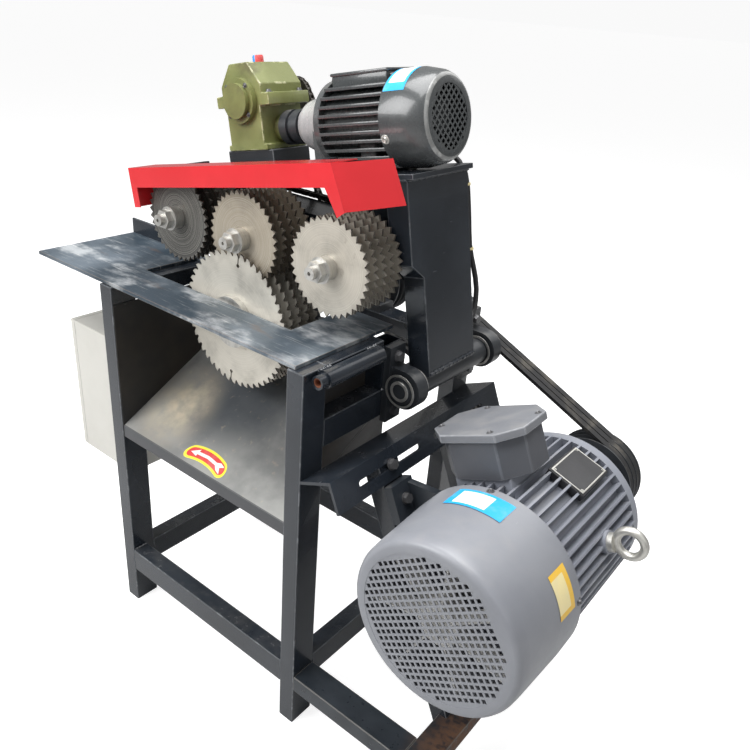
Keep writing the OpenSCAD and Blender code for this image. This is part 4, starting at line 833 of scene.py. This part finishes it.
def screws():
    """Fixings of the terminal lid, of both cowls, and of the reducer's cap and flange."""
    bm = bmesh.new()
    lid = MOTOR @ move(-0.260, 0.297, 0) @ turn(-90, "Y")
    for x, y in ((-0.088, -0.03), (0.088, 0.03), (-0.044, 0.068), (0.044, -0.068)):
        screw(bm, lid @ move(x, y, 0), 0.0045, 0.003)
    cowl_screws(bm, MOTOR, (-75, 10, 100, 190), MAIN_COWL_R, 0.19, 0.005, 0.0035)
    piece("motor_screws", bm, [DULL], "frame")
    bm = bmesh.new()
    cowl_screws(bm, FEED_MOTOR, (-110, 70, 180), FEED_COWL_R, 0.086, 0.006, 0.003)
    piece("feed_cowl_screws", bm, [ZINC], "head")
    bm = bmesh.new()
    cap = HEAD @ move(REDUCER_X, 0.2725, SPLIT_Z) @ TO_XZ
    cap_bolts_r = 0.0400
    for i in range(4):
        a = math.radians(45 + 90 * i)
        screw(bm, cap @ move(cap_bolts_r * math.cos(a), cap_bolts_r * math.sin(a), 0), 0.0035, 0.003)
    for x in (-0.474, -0.340):
        for y in (0.30, 0.39):
            screw(bm, HEAD @ move(x, y, SPLIT_Z + 0.012), 0.006, 0.006)
    piece("reducer_screws", bm, [DULL], "head")


def nameplate():
    """Blank plate on the main motor: a dark field in a bright rim, held by four rivets."""
    wide, high, thick, pad_t = 0.072, 0.105, 0.0016, 0.016
    place = MOTOR @ turn(-48, "Y") @ move(0, 0.392, 0.1625)
    bm = bmesh.new()
    block(bm, (wide, high, thick), place, 0.0006)
    for face in bm.faces:
        face.material_index = 1
    most = max(f.calc_area() for f in bm.faces)
    for face in [f for f in bm.faces if abs(f.calc_area() - most) < 1e-7]:
        bmesh.ops.inset_region(bm, faces=[face], thickness=0.003, depth=-0.0003)
        face.material_index = 0
    for x in (-0.031, 0.031):
        for y in (-0.047, 0.047):
            before = len(bm.faces)
            screw(bm, place @ move(x, y, thick / 2), 0.0022, 0.0016)
            bm.faces.ensure_lookup_table()
            for face in bm.faces[before:]:
                face.material_index = 1
    block(bm, (0.080, 0.112, pad_t), place @ move(0, 0, -0.0092), 0.002)
    piece("motor_nameplate", bm, [PLATE_BLACK, ZINC], "frame")


def filler_cap():
    """Two-tone cap over the reducer's filler plug."""
    bore, rim, hub, top, crown = 0.0082, 0.0115, 0.0006, 0.0148, 0.0141
    bm = bmesh.new()
    turned(bm, [
        (bore, 0), (rim, 0), (rim, 0.012), (0.0100, top), (hub, top), (hub, crown), (bore, crown)], 32)
    for face in bm.faces:
        face.material_index = face.calc_center_median().x > 0.003
    bmesh.ops.transform(bm, verts=bm.verts, matrix=HEAD @ move(REDUCER_X, DRIVE_Y, 0.6335) @ TO_XZ)
    piece("filler_cap", bm, [BLUE_CAP, RED_PRINT], "head")


def feed_motor_casting():
    """Finned frame of the feed motor with its rounded nose, feet and low terminal cover."""
    core, tip, start, length, axis_h = 0.068, 0.086, FEED_COWL_L, 0.150, 0.090
    pitch, thick, rounding, bore, shield = 0.0158, 0.0066, 0.0016, 0.0135, 0.082
    end, middle = start + length, start + length / 2
    foot_l, foot_t, foot_round = 0.036, 0.010, 0.002
    nose_y, nose_r = 0.266, 0.020
    bm = bmesh.new()
    turned(bm, [
        (bore, 0.080), (0.0845, 0.080), (0.0845, start), (core, start + 0.001), (core, end - 0.001),
        (shield, end), (shield, 0.259), (0.077, 0.264), (0.062, 0.276), (0.057, 0.284), (0.050, 0.322),
        (0.047, 0.330), (0.040, 0.341), (bore, 0.341)], 64)
    for face in bm.faces:
        c = face.calc_center_median()
        face.material_index = c.y > nose_y and math.hypot(c.x, c.z) > nose_r
    for i in range(-5, 6):
        z = i * pitch
        far = math.sqrt(tip ** 2 - z ** 2)
        near = math.sqrt(max(core ** 2 - z ** 2, 0)) - 0.004
        if near < 0:
            block(bm, (2 * far, length, thick), move(0, middle, z), rounding)
            continue
        for side in (-1, 1):
            block(bm, (far - near, length, thick), move(side * (near + far) / 2, middle, z), rounding)
    for x in (-pitch, 0, pitch):
        block(bm, (thick, length, 0.024), move(x, middle, -0.074), rounding)
    for y in (0.150, 0.270):
        for side in (-1, 1):
            block(bm, (0.042, foot_l, foot_t), move(side * 0.065, y, foot_t / 2 - axis_h), foot_round)
            block(bm, (foot_t, foot_l, axis_h), move(side * 0.051, y, -axis_h / 2), foot_round)
    bmesh.ops.transform(bm, verts=bm.verts, matrix=FEED_MOTOR)
    piece(
        "feed_motor_casting", bm, [FEED_GREY, NOSE_GREY], "head",
        ["feed_motor_body"])
    lid = bmesh.new()
    block(lid, (0.084, 0.134, 0.026), FEED_MOTOR @ move(0, 0.171, 0.074), 0.004)
    block(lid, (0.088, 0.138, 0.006), FEED_MOTOR @ move(0, 0.171, 0.0885), 0.0025)
    piece("feed_terminal_cover", lid, [FEED_GREY], "head", ["feed_terminal_box"])


def plate(bm, outline, y, thick, place):
    """A flat plate of X and Z points, raised along Y."""
    face = bm.faces.new([bm.verts.new((x, y, z)) for x, z in outline])
    lifted = bmesh.ops.extrude_face_region(bm, geom=[face])["geom"]
    bmesh.ops.translate(bm, verts=corners(lifted), vec=(0, thick, 0))
    bmesh.ops.transform(bm, verts=bm.verts, matrix=place)


def small_plates():
    """Side sheet, socket rust, the reducer's split flange, the arm's gusset and the guard's end lip."""
    bm = bmesh.new()
    block(bm, (0.0012, 0.242, 0.245), PLAN @ move(-0.0406, 0.179, 0.7025), 0.0004)
    piece("right_side_sheet", bm, [PANEL], "frame")
    bm = bmesh.new()
    turned_ring(bm, PLAN @ move(0.017, 0.0185, 0.852), 0.0104, 0.0072, 0.060)
    piece("socket_rust", bm, [RUST], "frame")
    bm = bmesh.new()
    for x in (-0.4775, -0.337):
        block(bm, (0.020, 0.118, 0.0235), HEAD @ move(x, DRIVE_Y, SPLIT_Z), 0.002)
    piece("reducer_flange", bm, [OLIVE], "head")
    right, left, top = -0.017, -0.200, 0.400
    bm = bmesh.new()
    plate(bm, [(right, 0.275), (left, 0.310), (left, top), (right, top)], 0.312, 0.003, HEAD)
    piece("arm_gusset", bm, [PAINT], "head")
    lip = [(-0.0410, 0.4098), (-0.0167, 0.3540), (0.0014, 0.3625), (-0.0195, 0.4445)]
    bm = bmesh.new()
    plate(bm, lip, 0.1144, 0.0012, HEAD)
    piece("guard_end_lip", bm, [RED], "head")


def pale_floor():
    """Floor that takes shadows and shows as white."""
    grey, pale, glow = (0.54, 0.54, 0.54), (0.57, 0.57, 0.57), (0.77, 0.77, 0.77)
    bm = bmesh.new()
    bmesh.ops.create_grid(bm, x_segments=4, y_segments=4, size=150)
    mesh = bpy.data.meshes.new("floor")
    bm.to_mesh(mesh)
    bm.free()
    floor = bpy.data.objects.new("floor", mesh)
    bpy.context.scene.collection.objects.link(floor)
    f = Finish("pale_floor")
    seen = f.add("ShaderNodeLightPath", out="Is Camera Ray")
    mesh.materials.append(f.dress(
        base_color=f.mix(grey, pale, f.noise(3)), roughness=0.75, emission_color=f.mix((0, 0, 0), glow, seen),
        emission_strength=1.0))


def soft_light():
    """White sky, brighter to the camera than as a light, and four large lamps."""
    lit, shown, aim = 0.32, 0.95, Vector((0, 0, 0.7))
    lamps = (
        ("key", (-1.5, -2.8, 2.6), 2.0, 110), ("sky", (-0.2, -0.3, 4.2), 3.0, 215),
        ("fill", (3.0, -1.4, 2.2), 2.0, 12), ("back", (0.5, 2.8, 3.0), 2.4, 30))
    world = bpy.data.worlds.new("studio")
    bpy.context.scene.world = world
    world.use_nodes = True
    tree = world.node_tree
    sky = tree.nodes["Background"]
    sky.inputs["Color"].default_value = (1, 1, 1, 1)
    seen = tree.nodes.new("ShaderNodeLightPath")
    level = tree.nodes.new("ShaderNodeMapRange")
    level.inputs["To Min"].default_value = lit
    level.inputs["To Max"].default_value = shown
    tree.links.new(seen.outputs["Is Camera Ray"], level.inputs["Value"])
    tree.links.new(level.outputs["Result"], sky.inputs["Strength"])
    for name, at, size, power in lamps:
        data = bpy.data.lights.new(name, "AREA")
        data.energy, data.size = power, size
        lamp = bpy.data.objects.new(name, data)
        lamp.location = at
        lamp.rotation_euler = (aim - Vector(at)).to_track_quat("-Z", "Y").to_euler()
        bpy.context.scene.collection.objects.link(lamp)
    bpy.context.scene.view_settings.view_transform = "Standard"


def photo_camera():
    """The camera that was fitted to the photograph."""
    yaw, pitch, roll = math.radians(36.6), math.radians(26.5), math.radians(4.69)
    ahead = Vector((-math.sin(yaw) * math.cos(pitch), math.cos(yaw) * math.cos(pitch), -math.sin(pitch)))
    right = Vector((math.cos(yaw), math.sin(yaw), 0))
    up = right.cross(ahead)
    across = right * math.cos(roll) + up * math.sin(roll)
    upright = up * math.cos(roll) - right * math.sin(roll)
    data = bpy.data.cameras.new("camera")
    data.sensor_width, data.lens, data.clip_end = 36, 35.66, 1000
    camera = bpy.data.objects.new("camera", data)
    aim = Matrix((across, upright, -ahead)).transposed().to_4x4()
    camera.matrix_world = move(0.919818, -1.141, 1.441) @ aim
    bpy.context.scene.collection.objects.link(camera)
    bpy.context.scene.camera = camera


def cowls():
    """Both motors' fan cowls: radius and length points, then hole, pitch, reach and angle of the grille."""
    main_shape = [
        (0.153, 0), (0.158, 0.0016), (0.1622, 0.0055), (0.165, 0.012), (0.1667, 0.03), (MAIN_COWL_R, 0.15),
        (MAIN_COWL_R, MAIN_COWL_L)]
    main_grid = (0.0082, 0.0126, 0.138, math.radians(11))
    fan_cowl("main_cowl", MOTOR, main_shape, main_grid, 0.2, COWL_GREY, "frame", "main_fan_cowl")
    feed_shape = [
        (0.069, 0), (0.0725, 0.0012), (0.0755, 0.0045), (0.081, 0.015), (FEED_COWL_R, 0.047),
        (FEED_COWL_R, FEED_COWL_L)]
    feed_grid = (0.0080, 0.0114, 0.058, math.radians(45))
    fan_cowl("feed_cowl", FEED_MOTOR, feed_shape, feed_grid, 1.0, FEED_GREY, "head", "feed_fan_cowl")


pale_floor()
soft_light()
photo_camera()
motor_cable()
dress_nodes()
cowls()
feed_chains()
bearing_inserts()
welds()
labels()
feed_arrow()
screws()
nameplate()
filler_cap()
feed_motor_casting()
small_plates()
